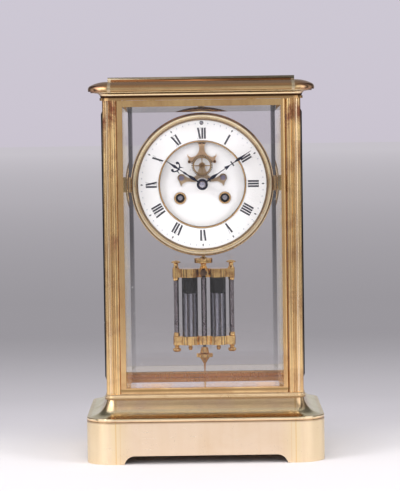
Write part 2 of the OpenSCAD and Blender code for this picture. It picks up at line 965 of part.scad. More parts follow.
// Leaf, bulge, cross-bar, an open scroll on each side, and blade
module hour_outline() {
    difference() {
        circle(4.2);
        circle(2.9 + fit_gap);
    }
    polygon(both_halves([
        [0.6, 3.6], [0.6, 5.6], [1.25, 8], [1.15, 10.4], [0.4, 13.4], [0.85, 16.4], [0.35, 18.6],
        [0.35, 21.5], [1.5, 21.5], [2.2, 20.5], [2.9, 19.2], [2.7, 20.8], [2.3, 21.9], [3, 22.6],
        [4, 23.7], [4.7, 25.2], [4.3, 26.5], [3.3, 26.9], [2.4, 26.2], [2.4, 25.2], [3.1, 24.8],
        [3.1, 24.1], [2.3, 23.3], [1.4, 22.9], [0.5, 22.6], [1.15, 25.8], [0.5, 29.2], [0.15, hour_hand_l]
    ]));
}

module hour_hand() {
    color("midnightblue")
        on_dial()
            translate([0, 0, hour_hand_z])
                linear_extrude(hand_t)
                    rotate(-hour_angle) hour_outline();
}

cannon_z = 2.4;
motion_wheel_z = 5;

module cannon_pinion() {
    color("silver")
        on_dial()
            difference() {
                union() {
                    translate([0, 0, cannon_z])
                        linear_extrude(1.6) gear_2d(cannon_teeth, cannon_m);
                    rod_between([0, 0], 2, front_out + 0.2, minute_hand_z);
                    rod_between([0, 0], 2.35, minute_hand_z, minute_hand_z + hand_t);
                }
                rod_between([0, 0], stout_r + run_gap, 0, minute_hand_z - 2);
            }
}

minute_wheel_turn = mesh_turn(-90, 0, cannon_teeth, minute_wheel_teeth);
hour_wheel_turn = mesh_turn(90, 0, minute_pinion, hour_wheel_teeth);

module minute_wheel() {
    color("gold")
        on_dial() {
            translate([motion_at[0], motion_at[1], cannon_z + 0.4])
                rotate(minute_wheel_turn)
                    crossed_wheel(minute_wheel_teeth, cannon_m, 1.2, 2.6, 4, wheel_t, 1, 0.7);
            translate([motion_at[0], motion_at[1], cannon_z + 0.4 + wheel_t])
                linear_extrude(3) gear_2d(minute_pinion, hour_m);
            rod_between(motion_at, 0.7, 0.1, cannon_z + 0.4 + wheel_t + 0.2);
        }
}

module hour_wheel() {
    color("gold")
        on_dial() {
            difference() {
                union() {
                    translate([0, 0, motion_wheel_z])
                        rotate(hour_wheel_turn)
                            linear_extrude(wheel_t)
                                difference() {
                                    gear_2d(hour_wheel_teeth, hour_m);
                                    circle(2.5);
                                }
                    rod_between([0, 0], 2.9, motion_wheel_z - 0.6, hour_hand_z + hand_t);
                }
                rod_between([0, 0], 2 + run_gap, 0, hour_hand_z + 2);
            }
        }
}

// Going and strike barrels

// A drum with its great wheel at the front or the back end, and a cap that closes the drum
module barrel(at, wheel_z, turn, wheel_in_front) {
    front = going_wheel_z;
    drum_back = wheel_in_front ? drum_end_z : wheel_z + great_t;
    drum_front = wheel_in_front ? wheel_z : front;
    cap = 1;
    cap_z = wheel_in_front ? drum_back : drum_front - cap;
    in_low = wheel_in_front ? drum_back + cap : drum_back;
    in_high = wheel_in_front ? drum_front : drum_front - cap;
    bore = wind_arbor_r + run_gap;
    translate([at[0], at[1], 0]) {
        difference() {
            union() {
                translate([0, 0, wheel_z])
                    rotate(turn)
                        linear_extrude(great_t) gear_2d(barrel_teeth, barrel_m);
                translate([0, 0, drum_back]) cylinder(r = barrel_r, h = drum_front - drum_back);
            }
            translate([0, 0, wheel_in_front ? drum_back - 1 : in_low])
                cylinder(r = barrel_r - barrel_wall, h = in_high - in_low + cap + 1);
            translate([0, 0, wheel_z - 1]) cylinder(r = bore, h = great_t + 2);
        }
        translate([0, 0, cap_z])
            linear_extrude(cap)
                difference() {
                    circle(barrel_r - barrel_wall - fit_gap);
                    circle(bore);
                }
    }
}

going_turn = mesh_turn(way([0, 0], going_at), 0, barrel_pinion, barrel_teeth);
strike_turn = 0;

module going_barrel() {
    color("gold")
        on_dial() barrel(going_at, going_wheel_z, going_turn, true);
}

module strike_barrel() {
    color("gold")
        on_dial() barrel(strike_at, strike_wheel_z, strike_turn, false);
}

// The coiled mainspring, drawn as the ring that it fills
module mainspring(at, low, high) {
    color("slategray")
        on_dial()
            translate([at[0], at[1], low])
                linear_extrude(high - low)
                    difference() {
                        circle(barrel_r - barrel_wall - slip);
                        circle(9);
                    }
}

module going_spring() {
    mainspring(going_at, drum_end_z + 1.3, going_wheel_z - 0.3);
}

module strike_spring() {
    mainspring(strike_at, strike_wheel_z + great_t + 0.3, going_wheel_z - 1.3);
}

ratchet_r = 6.6;
ratchet_teeth = 20;
ratchet_z = 2.2;
ratchet_t = 1.4;

module ratchet_outline() {
    polygon([
        for (i = [0:ratchet_teeth - 1])
            let (a = 360 / ratchet_teeth * i)
            each [
                ratchet_r * [cos(a), sin(a)],
                (ratchet_r - 1) * [cos(a + 1.5), sin(a + 1.5)]
            ]
    ]);
}

// A winding arbor: square end at the front, ratchet wheel, and a hub inside the barrel
module wind_arbor(at) {
    square_side = 2.7;
    color("lightsteelblue")
        on_dial()
            translate([at[0], at[1], 0]) {
                translate([0, 0, back_out + 0.1])
                    cylinder(r = wind_arbor_r, h = ratchet_z + ratchet_t + 1 - back_out - 0.1);
                translate([-square_side / 2, -square_side / 2, ratchet_z])
                    cube([square_side, square_side, sunk_z - 0.5 - ratchet_z]);
                translate([0, 0, ratchet_z])
                    linear_extrude(ratchet_t) ratchet_outline();
                translate([0, 0, drum_end_z + 1.3])
                    cylinder(r = 4.5, h = going_wheel_z - 1.6 - drum_end_z - 1.3);
            }
}

module going_arbor() {
    wind_arbor(going_at);
}

module strike_arbor() {
    wind_arbor(strike_at);
}

function click_place(side) =
    [side * (wind_x + click_reach * cos(click_angle)), -wind_drop - click_reach * sin(click_angle)];

// A click: a pivoted lever whose beak stands just clear of the ratchet's teeth
module click(side) {
    place = click_place(side);
    centre = [side * wind_x, -wind_drop];
    lean = way(place, centre) + side * 33;
    beak = 6.5;
    color("lightsteelblue")
        on_dial() {
            translate([place[0], place[1], ratchet_z])
                linear_extrude(ratchet_t)
                    rotate(lean) {
                        circle(2);
                        polygon([[0, -1.9], [beak, -0.5], [beak, 0.5], [0, 1.9]]);
                    }
            rod_between(place, arbor_r, 0.2, ratchet_z + ratchet_t);
            rod_between(place, 1.6, ratchet_z + ratchet_t, ratchet_z + ratchet_t + 0.8);
        }
}

module going_click() {
    click(1);
}

module strike_click() {
    click(-1);
}

// Going train

third_turn = mesh_turn(way([0, 0], third_at), 0, centre_teeth, leaves);
escape_turn = mesh_turn(way(third_at, escape_at), 0, third_teeth, leaves);

// An arbor between the plates with fine pivots at both ends
module arbor(at, r, front = 0) {
    rod_between(at, r, back_in + 0.3, front > 0 ? front : -0.3);
    rod_between(at, pivot_r, back_out + 0.1, back_in + 0.3);
    if (front == 0)
        rod_between(at, pivot_r, -0.3, front_out - 0.1);
}

module centre_wheel() {
    color("gold")
        on_dial() {
            translate([0, 0, centre_wheel_z])
                crossed_wheel(centre_teeth, centre_m, 1.6, 3, 4, wheel_t, 1.4, 1);
            translate([0, 0, going_wheel_z - 0.4])
                linear_extrude(great_t + 0.6) gear_2d(barrel_pinion, barrel_m);
            arbor([0, 0], stout_r, minute_hand_z - 2.4);
        }
}

module third_wheel() {
    color("gold")
        on_dial() {
            translate([third_at[0], third_at[1], 0]) {
                translate([0, 0, third_wheel_z])
                    crossed_wheel(third_teeth, third_m, 1.5, 2.6, 4, wheel_t, 1.2, arbor_r - 0.1);
                translate([0, 0, centre_wheel_z - 0.4])
                    rotate(third_turn)
                        linear_extrude(wheel_t + 0.8) gear_2d(leaves, centre_m);
            }
            arbor(third_at, 0.75);
        }
}

module escape_wheel() {
    color("gold")
        on_dial() {
            translate([escape_at[0], escape_at[1], escape_z])
                linear_extrude(0.8)
                    difference() {
                        union() {
                            difference() {
                                union() {
                                    circle(escape_root);
                                    for (i = [0:escape_teeth - 1])
                                        rotate(360 / escape_teeth * i)
                                            polygon([
                                                [escape_root - 0.3, -0.35], [escape_tip, -0.1],
                                                [escape_tip, 0.1], [escape_root - 0.3, 0.2]
                                            ]);
                                }
                                circle(escape_rim);
                            }
                            circle(2);
                            for (a = [0, 90])
                                rotate(a) square([2 * escape_rim + 0.6, 0.7], center = true);
                        }
                        circle(0.6);
                    }
            translate([escape_at[0], escape_at[1], third_wheel_z - 0.4])
                rotate(escape_turn)
                    linear_extrude(wheel_t + 0.8) gear_2d(leaves, third_m);
            rod_between(escape_at, 0.7, back_in + 0.3, escape_z + 1.1);
            rod_between(escape_at, pivot_r, back_out + 0.1, back_in + 0.3);
        }
}

// The escape wheel's cock: two eared feet and a waisted middle
module escape_bridge() {
    ear_x = 16.3;
    ear_y = 5;
    color("gold")
        on_dial() {
            translate([0, 0, sunk_z])
                linear_extrude(1.3)
                    difference() {
                        union() {
                            translate(escape_at) circle(2.6);
                            polygon([
                                [-1.8, escape_rise - 1], [-3.6, escape_rise - 5], [-3.2, 7.4],
                                [3.2, 7.4], [3.6, escape_rise - 5], [1.8, escape_rise - 1]
                            ]);
                            difference() {
                                polygon([
                                    [-9, 2], [-9, 4.3], [-5, 6.6], [-3.4, 8],
                                    [3.4, 8], [5, 6.6], [9, 4.3], [9, 2]
                                ]);
                                circle(5.2);
                            }
                            both_sides() {
                                translate([ear_x, ear_y]) circle(3.1);
                                polygon([
                                    [8, 2.2], [8, 4.7], [10.8, 4.9], [13.6, 6.6], [ear_x + 1, ear_y + 2],
                                    [ear_x + 2.6, ear_y - 1], [ear_x + 0.4, -1.7],
                                    [ear_x - 0.8, 0.4], [ear_x - 4, 2.2]
                                ]);
                            }
                        }
                        translate(escape_at) circle(0.7 + run_gap);
                    }
            both_sides() rod_between([ear_x, ear_y], 2.4, sunk_z + 1.3, sunk_z + 2.1);
        }
}

// The anchor, just behind the wheel: a stem, two bowed arms, and pins for pallets
module anchor() {
    arm_t = 0.7;
    arm_z = escape_z - arm_t - 0.1;
    color("gold")
        on_dial() {
            translate([0, 0, arm_z])
                linear_extrude(arm_t)
                    union() {
                        difference() {
                            translate([-pallet_x - 0.6, escape_rise + 2.6])
                                square([2 * pallet_x + 1.2, anchor_rise - escape_rise - 1.6]);
                            both_sides()
                                translate([9.2, anchor_rise - 3.5]) circle(7.2);
                            translate(escape_at) circle(escape_tip - 0.8);
                        }
                        both_sides()
                            polygon([
                                [pallet_x - 1.6, 20.4], [pallet_x + 0.6, 20.6], [pallet_x + 1.6, 22],
                                [pallet_x + 1.3, 24.2], [pallet_x + 0.9, 22.4], [pallet_x - 1, 21.4]
                            ]);
                        both_sides()
                            translate([pallet_x, anchor_rise - pallet_drop])
                                circle(pallet_r + 0.2);
                    }
            both_sides()
                rod_between([pallet_x, anchor_rise - pallet_drop], pallet_r - 0.2,
                    arm_z, escape_z + 1.8);
            rod_between(anchor_at, anchor_arbor_r, cock_z + 0.4, arm_z + arm_t + 0.4);
        }
}

crutch_z = back_out - 3.6;

module crutch() {
    drop = 38;
    color("gold")
        on_dial() {
            translate([0, 0, crutch_z])
                linear_extrude(1)
                    difference() {
                        union() {
                            translate(anchor_at) circle(2.4);
                            translate([-0.8, anchor_rise - drop]) square([1.6, drop]);
                            translate([-3, anchor_rise - drop]) square([6, 2.2]);
                        }
                        translate(anchor_at) circle(anchor_arbor_r + fit_gap);
                    }
            both_sides()
                translate([1.5, anchor_rise - drop, pendulum_z - 2.2])
                    cube([1, 2.2, crutch_z - pendulum_z + 2.2]);
        }
}

// Strike train

pin_pinion_turn = mesh_turn(way(strike_at, pin_at), strike_turn, barrel_teeth, barrel_pinion);
lock_pinion_turn = mesh_turn(way(pin_at, lock_at), 0, pin_teeth, leaves);
fly_turn = mesh_turn(way(lock_at, fly_at), 0, lock_teeth, leaves);

pin_ring_r = 10.4;

module pin_wheel() {
    color("gold")
        on_dial() {
            translate([pin_at[0], pin_at[1], 0]) {
                translate([0, 0, pin_wheel_z])
                    crossed_wheel(pin_teeth, pin_m, 2.4, 2.8, 4, wheel_t, 1.4, 0.9);
                translate([0, 0, strike_wheel_z - 0.3])
                    rotate(pin_pinion_turn)
                        linear_extrude(great_t + 0.6) gear_2d(barrel_pinion, barrel_m);
                for (i = [0:9])
                    rotate(36 * i)
                        translate([pin_ring_r, 0, pin_wheel_z + 0.2])
                            cylinder(r = 0.4, h = wheel_t + 0.7);
            }
            arbor(pin_at, 1);
        }
}

module locking_wheel() {
    color("gold")
        on_dial() {
            translate([lock_at[0], lock_at[1], 0]) {
                translate([0, 0, lock_wheel_z])
                    crossed_wheel(lock_teeth, lock_m, 1.6, 2.6, 4, wheel_t, 1.2, arbor_r - 0.1);
                translate([0, 0, pin_wheel_z - 0.3])
                    rotate(lock_pinion_turn)
                        linear_extrude(wheel_t + 0.6) gear_2d(leaves, pin_m);
            }
            arbor(lock_at, 0.8);
        }
}

module fly() {
    color("gold")
        on_dial() {
            translate([fly_at[0], fly_at[1], 0]) {
                translate([0, 0, lock_wheel_z - 0.4])
                    rotate(fly_turn)
                        linear_extrude(wheel_t + 0.8) gear_2d(leaves, lock_m);
                translate([-7, -0.3, lock_wheel_z + 2]) cube([14, 0.6, 10]);
            }
            arbor(fly_at, 0.75);
        }
}

hammer_z = bell_mouth_z - 2.4;
hammer_lever = [9.5, 25.4];

// Its arbor, an arm beside the bell's rim, a head, and a tail between the plates
module hammer() {
    lean = atan2(hammer_lever[1], hammer_lever[0]);
    reach = norm(hammer_lever);
    color("gold")
        on_dial() {
            rod_between(hammer_at, stout_r, hammer_z - 1.4, -0.3);
            rod_between(hammer_at, pivot_r, -0.3, front_out - 0.1);
            translate([hammer_at[0], hammer_at[1], hammer_z - 1.4])
                rotate(lean) {
                    cylinder(r = 2.2, h = 2);
                    translate([0, -0.7, 0]) cube([reach, 1.4, 1.6]);
                    translate([reach - 0.5, -3.2, 0.8])
                        rotate([-90, 0, 0]) cylinder(r = 2.6, h = 7);
                }
            translate([hammer_at[0], hammer_at[1], pin_wheel_z + wheel_t + 0.1])
                rotate(way(hammer_at, pin_at)) {
                    cylinder(r = 2, h = 1);
                    translate([0, -0.5, 0])
                        cube([norm(pin_at - hammer_at) - pin_ring_r - 1, 1, 0.8]);
                }
        }
}

// The bell: a shallow cap of a sphere, its mouth towards the movement
module bell() {
    color("gainsboro")
        on_dial()
            translate([bell_at[0], bell_at[1], bell_mouth_z])
                mirror([0, 0, 1])
                    rotate_extrude()
                        intersection() {
                            difference() {
                                translate([0, bell_h - bell_sphere]) circle(bell_sphere);
                                translate([0, bell_h - bell_sphere])
                                    circle(bell_sphere - bell_wall);
                            }
                            translate([2 + fit_gap, 0]) square([bell_r + 2, bell_h + 1]);
                        }
}

// The bell's stand: a foot and post on the back plate, an arm, and a stud with a nut
module bell_stand() {
    post_at = [13, -24];
    arm_z = bell_mouth_z - 7;
    arm_w = 5;
    crown_z = bell_mouth_z - bell_h;
    color("lightsteelblue")
        on_dial() {
            rod_between(post_at, 3.6, back_out - 1.6, back_out);
            rod_between(post_at, 2, arm_z, back_out);
            translate([0, 0, arm_z - 2])
                linear_extrude(2)
                    union() {
                        translate(post_at) circle(arm_w / 2);
                        translate(bell_at) circle(arm_w / 2 + 1);
                        translate(bell_at)
                            rotate(way(bell_at, post_at))
                                translate([0, -arm_w / 2 + 0.3])
                                    square([norm(post_at - bell_at), arm_w - 0.6]);
                    }
            rod_between(bell_at, 3.5, crown_z + bell_wall + 0.2, arm_z - 2);
            rod_between(bell_at, 2, crown_z - 3.6, arm_z);
            translate([bell_at[0], bell_at[1], crown_z - 2.6])
                difference() {
                    cylinder(r = 3.8, h = 2.5, $fn = 6);
                    translate([0, 0, -1]) cylinder(r = 2 + fit_gap, h = 5);
                }
        }
}

// Suspension and pendulum

cock_z = back_out - 7;
suspension_pin_r = 0.45;
hook_drop = 8.5;

module suspension_cock() {
    color("gold")
        on_dial() {
            difference() {
                union() {
                    translate([-14, anchor_rise - 4, cock_z]) cube([28, 8, 2]);
                    both_sides()
                        translate([9.5, anchor_rise - 4, cock_z])
                            cube([4.5, 8, back_out - cock_z]);
                    translate([-2.5, anchor_rise - 2.5, cock_z])
                        cube([5, regulator_rise - anchor_rise + 5, 2]);
                    both_sides()
                        translate([1, anchor_rise - 1.5, pendulum_z - 2])
                            cube([1.6, 3.6, cock_z - pendulum_z + 2]);
                }
                rod_between(anchor_at, anchor_arbor_r + run_gap, cock_z - 1, cock_z + 3);
                rod_between([0, regulator_rise], regulator_r + run_gap, cock_z - 1, cock_z + 3);
            }
            translate([0, anchor_rise, pendulum_z])
                rotate([0, 90, 0]) cylinder(r = suspension_pin_r, h = 2.2, center = true);
            both_sides() rod_between([11.75, anchor_rise], 2, cock_z - 1, cock_z);
        }
}

module regulator_arbor() {
    color("lightsteelblue")
        on_dial() {
            rod_between([0, regulator_rise], regulator_r, cock_z - 1.5, ring_z - 1);
            rod_between([0, regulator_rise], 1.8, cock_z - 1.5, cock_z - 0.1);
            translate([-0.5, regulator_rise - 0.5, ring_z - 1]) cube([1, 1, 1]);
        }
}

// Turns a shape drawn about the pendulum's upright axis into its place
module on_pendulum(z = 0) {
    translate([0, pendulum_y, z]) children();
}

module suspension_spring() {
    color("lightsteelblue")
        on_pendulum(swing_z) {
            difference() {
                translate([-0.1, -1.8, -hook_drop - 1.9]) cube([0.2, 3.6, hook_drop + 3.2]);
                rotate([0, 90, 0])
                    cylinder(r = suspension_pin_r + run_gap, h = 2, center = true);
            }
        }
}

module pendulum_rod() {
    hook_z = swing_z - hook_drop;
    disc_z = jar_top_z + 4.6;
    color("orange")
        on_pendulum() {
            difference() {
                translate([-2, -2, hook_z - 4]) cube([4, 4, 4]);
                translate([-0.15, -3, hook_z - 2]) cube([0.3, 6, 3]);
            }
            translate([0, 0, disc_z]) cylinder(r = 1.2, h = hook_z - 4 - disc_z);
            translate([0, 0, jar_top_z])
                rotate_extrude()
                    polygon([
                        [0, 0], [3.4, 0], [2.2, 2.6], [2.4, 3.6], [5.2, 4.6], [7.2, 4.6], [7.4, 5],
                        [7.4, 8.2], [7, 8.6], [3, 8.6], [2.6, 9.4], [0, 9.4]
                    ]);
            translate([0, 0, nut_low_z + 4])
                cylinder(r = 1.5, h = pendulum_foot_z - nut_low_z - 4);
            translate([0, 0, pendulum_foot_z])
                cylinder(r = 2.2, h = jar_top_z - pendulum_foot_z);
        }
}

// A jar plate's plan: lobes over the jars and the outer rods, joined by a bar
module jar_plate_plan() {
    difference() {
        union() {
            square([2 * rod_x, 7], center = true);
            both_sides() {
                translate([jar_x, 0]) circle(jar_r + 1.5);
                translate([rod_x, 0]) circle(2.9);
            }
            circle(4.4);
        }
        circle(2.2 + fit_gap);
        both_sides()
            translate([rod_x, 0]) circle(rod_r + fit_gap);
    }
}

// The upper plate, with a plug down into each jar to just above the mercury
module jar_plate_top() {
    plug_h = jar_h * (1 - mercury_fill);
    color("orange")
        on_pendulum(jar_top_z - jar_plate_t) {
            difference() {
                linear_extrude(jar_plate_t) jar_plate_plan();
                both_sides()
                    translate([jar_x, 0, -1]) cylinder(r = jar_r + slip, h = jar_seat + 1);
            }
            both_sides()
                translate([jar_x, 0, -plug_h])
                    cylinder(r = jar_r - jar_wall - slip, h = plug_h + jar_seat + 0.3);
            translate([0, -4, jar_plate_t / 2])
                rotate([90, 0, 0]) cylinder(r = 2.8, h = 2.2);
        }
}

module jar_plate_bottom() {
    color("orange")
        on_pendulum(pendulum_foot_z) {
            difference() {
                linear_extrude(jar_plate_t) jar_plate_plan();
                both_sides()
                    translate([jar_x, 0, jar_plate_t - jar_seat])
                        cylinder(r = jar_r + slip, h = jar_seat + 1);
            }
            both_sides()
                translate([jar_x, 0, 0])
                    rotate_extrude()
                        polygon([[0, 0], [2, 0], [1.4, -1], [1.9, -2.6], [1.1, -4.4], [0, -4.4]]);
        }
}

// The outer rods, with collars against the plates and a mushroom finial at each end
module jar_rods() {
    color("orange")
        both_sides()
            on_pendulum()
                translate([rod_x, 0, 0])
                    rotate_extrude() {
                        translate([0, pendulum_foot_z - 1])
                            square([rod_r, jar_top_z + 2 - pendulum_foot_z]);
                        translate([0, jar_top_z])
                            polygon([
                                [0, 0], [2.8, 0], [1.8, 2.2], [1.9, 4.2], [3.9, 5], [3.9, 5.6],
                                [2.4, 6.4], [0, 6.9]
                            ]);
                        translate([0, jar_floor_z + jar_h])
                            polygon([[0, 0], [2.4, 0], [2.6, -1.2], [2.1, -2.6], [0, -2.6]]);
                        translate([0, jar_floor_z])
                            polygon([[0, 0], [2.4, 0], [2.6, 1.4], [2.1, 3.2], [0, 3.2]]);
                        translate([0, pendulum_foot_z])
                            polygon([
                                [0, 0], [2.7, 0], [1.9, -1], [1.9, -2.4], [3.3, -3.2], [3.4, -4.4],
                                [2.4, -5.6], [0, -6]
                            ]);
                    }
}

module glass_jars() {
    low = jar_floor_z - jar_seat;
    color("lightcyan", 0.4)
        both_sides()
            on_pendulum(low)
                translate([jar_x, 0, 0])
                    difference() {
                        cylinder(r = jar_r, h = jar_h + 2 * jar_seat - slip);
                        translate([0, 0, 1.5])
                            cylinder(r = jar_r - jar_wall, h = jar_h + 2 * jar_seat);
                    }
}

module mercury() {
    color("silver")
        both_sides()
            on_pendulum(jar_floor_z - jar_seat + 1.5)
                translate([jar_x, 0, 0])
                    cylinder(r = jar_r - jar_wall - fit_gap, h = jar_h * mercury_fill);
}

nut_h = 9;
nut_top_z = pendulum_foot_z - 6.2;
nut_low_z = nut_top_z - nut_h;

// The rating nut: a knurled disc over stepped cones that end in a fine tip
module rating_nut() {
    color("orange")
        on_pendulum(nut_low_z)
            difference() {
                union() {
                    translate([0, 0, nut_h - 4]) cylinder(r = 6.4, h = 3);
                    translate([0, 0, nut_h - 1]) cylinder(r1 = 4, r2 = 2.6, h = 5);
                    translate([0, 0, nut_h - 7]) cylinder(r1 = 2.2, r2 = 4.4, h = 3);
                    cylinder(r1 = 1.1, r2 = 2.4, h = 2.1);
                    translate([0, 0, -8]) cylinder(r1 = 0.3, r2 = 0.9, h = 8.1);
                }
                translate([0, 0, 3.4]) cylinder(r = 1.5 + run_gap, h = nut_h + 4);
            }
}

base_plinth();
base_moulding();
base_floor();
lower_frame();
corner_posts();
upper_frame();
cornice();
top_plate();
case_fixings();
side_frames();
side_glasses();
front_door_frame();
front_door_glass();
front_door_beads();
back_door_frame();
back_door_glass();
back_door_beads();
front_plate();
back_plate();
movement_brackets();
dial_pan();
dial_ring();
dial_centre();
dial_trim();
bezel();
hour_hand();
hour_wheel();
minute_hand();
cannon_pinion();
minute_wheel();
going_barrel();
going_spring();
going_arbor();
going_click();
centre_wheel();
third_wheel();
escape_wheel();
escape_bridge();
anchor();
crutch();
strike_barrel();
strike_spring();
strike_arbor();
strike_click();
pin_wheel();
locking_wheel();
fly();
hammer();
bell();
bell_stand();
suspension_cock();
regulator_arbor();
suspension_spring();
pendulum_rod();
jar_plate_top();
jar_plate_bottom();
jar_rods();
glass_jars();
mercury();
rating_nut();
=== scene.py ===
import json
import math

import bmesh
import bpy
from mathutils import Matrix, Vector

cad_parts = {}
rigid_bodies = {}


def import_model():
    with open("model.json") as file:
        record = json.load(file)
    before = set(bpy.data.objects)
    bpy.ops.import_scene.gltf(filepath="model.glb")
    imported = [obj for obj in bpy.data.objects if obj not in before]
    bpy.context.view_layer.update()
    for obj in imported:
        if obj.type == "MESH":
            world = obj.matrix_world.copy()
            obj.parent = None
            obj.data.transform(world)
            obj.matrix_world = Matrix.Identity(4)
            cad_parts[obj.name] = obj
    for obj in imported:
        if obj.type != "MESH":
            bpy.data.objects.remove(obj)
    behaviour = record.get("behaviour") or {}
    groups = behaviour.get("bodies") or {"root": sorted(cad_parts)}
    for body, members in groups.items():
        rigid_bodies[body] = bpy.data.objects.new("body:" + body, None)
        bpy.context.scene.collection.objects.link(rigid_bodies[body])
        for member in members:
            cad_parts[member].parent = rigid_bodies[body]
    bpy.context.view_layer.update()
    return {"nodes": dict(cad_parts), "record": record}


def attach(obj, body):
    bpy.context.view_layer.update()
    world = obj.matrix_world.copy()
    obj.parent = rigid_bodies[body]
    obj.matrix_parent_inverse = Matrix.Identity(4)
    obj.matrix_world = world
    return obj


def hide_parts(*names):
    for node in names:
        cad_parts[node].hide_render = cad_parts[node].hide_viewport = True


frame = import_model()
mm = 0.001
print("frame loaded:", len(frame["nodes"]), "nodes")

# the dial's own frame: x to the right, y up, z out to the front, in millimetres from its centre
dialAxis = {"planeY": -24.0, "centreZ": 215.6}
dialCentre = (0, dialAxis["planeY"] * mm, dialAxis["centreZ"] * mm)
onDial = Matrix.Translation(dialCentre) @ Matrix.Rotation(math.radians(90), 4, "X")
sceneItems = bpy.context.scene.collection.objects
slotOfNode = {part["node"]: part["material_slot"] for part in frame["record"]["subparts"]}
bodies = frame["record"]["behaviour"]["bodies"]
bodyOfNode = {node: body for body, nodes in bodies.items() for node in nodes}

# camera at the photograph's place, in metres and degrees
cameraSettings = {
    "distance": 1.868, "caseFrontY": -0.059, "height": 0.280, "tilt": 3.41, "roll": 0.826, "pan": 0.076,
    "focalPixels": 2405, "imageHeight": 491, "sensor": 36, "farClip": 60,
}


def makeCamera(c):
    data = bpy.data.cameras.new("studioCamera")
    data.lens = c["focalPixels"] * c["sensor"] / c["imageHeight"]
    data.clip_end = c["farClip"]
    camera = bpy.data.objects.new("studioCamera", data)
    camera.matrix_world = (
        Matrix.Translation((0, c["caseFrontY"] - c["distance"], c["height"]))
        @ Matrix.Rotation(math.radians(c["pan"]), 4, "Z")
        @ Matrix.Rotation(math.radians(90 - c["tilt"]), 4, "X")
        @ Matrix.Rotation(math.radians(-c["roll"]), 4, "Z")
    )
    sceneItems.link(camera)
    bpy.context.scene.camera = camera


makeCamera(cameraSettings)
bpy.context.scene.view_settings.view_transform = "Standard"
print("camera placed")


# small helpers for node trees
def addNode(tree, kind, inputs=None, **fields):
    node = tree.nodes.new(kind)
    for name, value in fields.items():
        setattr(node, name, value)
    for key, value in (inputs or {}).items():
        if isinstance(value, bpy.types.NodeSocket):
            tree.links.new(value, node.inputs[key])
        else:
            node.inputs[key].default_value = value
    return node


def ramp(tree, fac, stops):
    node = addNode(tree, "ShaderNodeValToRGB", {0: fac})
    while len(node.color_ramp.elements) < len(stops):
        node.color_ramp.elements.new(0.5)
    for element, (position, value) in zip(node.color_ramp.elements, stops):
        element.position = position
        element.color = (value, value, value, 1) if isinstance(value, (int, float)) else (*value, 1)
    return node.outputs[0]


def mixColor(tree, fac, a, b, mode="MIX"):
    node = addNode(tree, "ShaderNodeMix", {0: fac, 6: a, 7: b}, data_type="RGBA", blend_type=mode)
    return node.outputs[2]


def calc(tree, operation, a, b=0.0, clamp=False):
    return addNode(tree, "ShaderNodeMath", {0: a, 1: b}, operation=operation, use_clamp=clamp).outputs[0]


def mapRange(tree, value, low, high):
    return addNode(tree, "ShaderNodeMapRange", {0: value, 1: low, 2: high}).outputs[0]


def vectorMath(tree, operation, a, b=(0, 0, 0)):
    return addNode(tree, "ShaderNodeVectorMath", {0: a, 1: b}, operation=operation)


def newGroup(name, kind, sockets, results):
    tree = bpy.data.node_groups.new(name, kind)
    for label, socketKind, value in sockets:
        socket = tree.interface.new_socket(label, in_out="INPUT", socket_type="NodeSocket" + socketKind)
        if value is not None:
            socket.default_value = value
    for label, socketKind in results:
        tree.interface.new_socket(label, in_out="OUTPUT", socket_type="NodeSocket" + socketKind)
    return tree, addNode(tree, "NodeGroupInput").outputs, addNode(tree, "NodeGroupOutput").inputs


# age on brass: clouds, upright streaks and scattered specks
tarnishLook = {
    "cloudStops": [(0.47, 0.0), (0.70, 1.0)], "streakStops": [(0.45, 0.0), (0.75, 1.0)],
    "streakFlat": 0.07, "streakShare": 0.45,
    "dotScale": 620, "dotStops": [(0.05, 1.0), (0.22, 0.0)],
    "patchScale": 90, "patchStops": [(0.52, 0.0), (0.66, 1.0)],
    "grainScale": 1500, "grainShare": 0.3,
}


def makeTarnishGroup(t):
    tree, given, put = newGroup(
        "tarnish", "ShaderNodeTree",
        [("Vector", "Vector", None), ("Cloud Size", "Float", 40), ("Streak Size", "Float", 260),
         ("Amount", "Float", 0.5), ("Specks", "Float", 0.3)],
        [("Mask", "Float"), ("Specks", "Float"), ("Height", "Float")])
    vector = given["Vector"]
    cloud = addNode(tree, "ShaderNodeTexNoise", {
        "Vector": vector, "Scale": given["Cloud Size"], "Detail": 6, "Roughness": 0.6, "Distortion": 0.4})
    tall = addNode(tree, "ShaderNodeMapping", {"Vector": vector, "Scale": (1, 1, t["streakFlat"])})
    streak = addNode(tree, "ShaderNodeTexNoise", {
        "Vector": tall.outputs[0], "Scale": given["Streak Size"], "Detail": 3, "Roughness": 0.55})
    cloudMask = ramp(tree, cloud.outputs["Fac"], t["cloudStops"])
    streakMask = ramp(tree, streak.outputs["Fac"], t["streakStops"])
    both = calc(tree, "ADD", cloudMask, calc(tree, "MULTIPLY", streakMask, t["streakShare"]))
    mask = calc(tree, "MULTIPLY", both, given["Amount"], clamp=True)
    dots = addNode(tree, "ShaderNodeTexVoronoi", {"Vector": vector, "Scale": t["dotScale"], "Randomness": 1})
    patches = addNode(tree, "ShaderNodeTexNoise", {"Vector": vector, "Scale": t["patchScale"], "Detail": 2})
    nearDot = ramp(tree, dots.outputs["Distance"], t["dotStops"])
    inPatch = ramp(tree, patches.outputs["Fac"], t["patchStops"])
    specks = calc(tree, "MULTIPLY", calc(tree, "MULTIPLY", nearDot, inPatch), given["Specks"])
    grain = addNode(tree, "ShaderNodeTexNoise", {"Vector": vector, "Scale": t["grainScale"], "Detail": 3})
    height = calc(tree, "SUBTRACT", calc(tree, "MULTIPLY", grain.outputs["Fac"], t["grainShare"]), specks)
    for label, value in (("Mask", mask), ("Specks", specks), ("Height", height)):
        tree.links.new(value, put[label])
    return tree


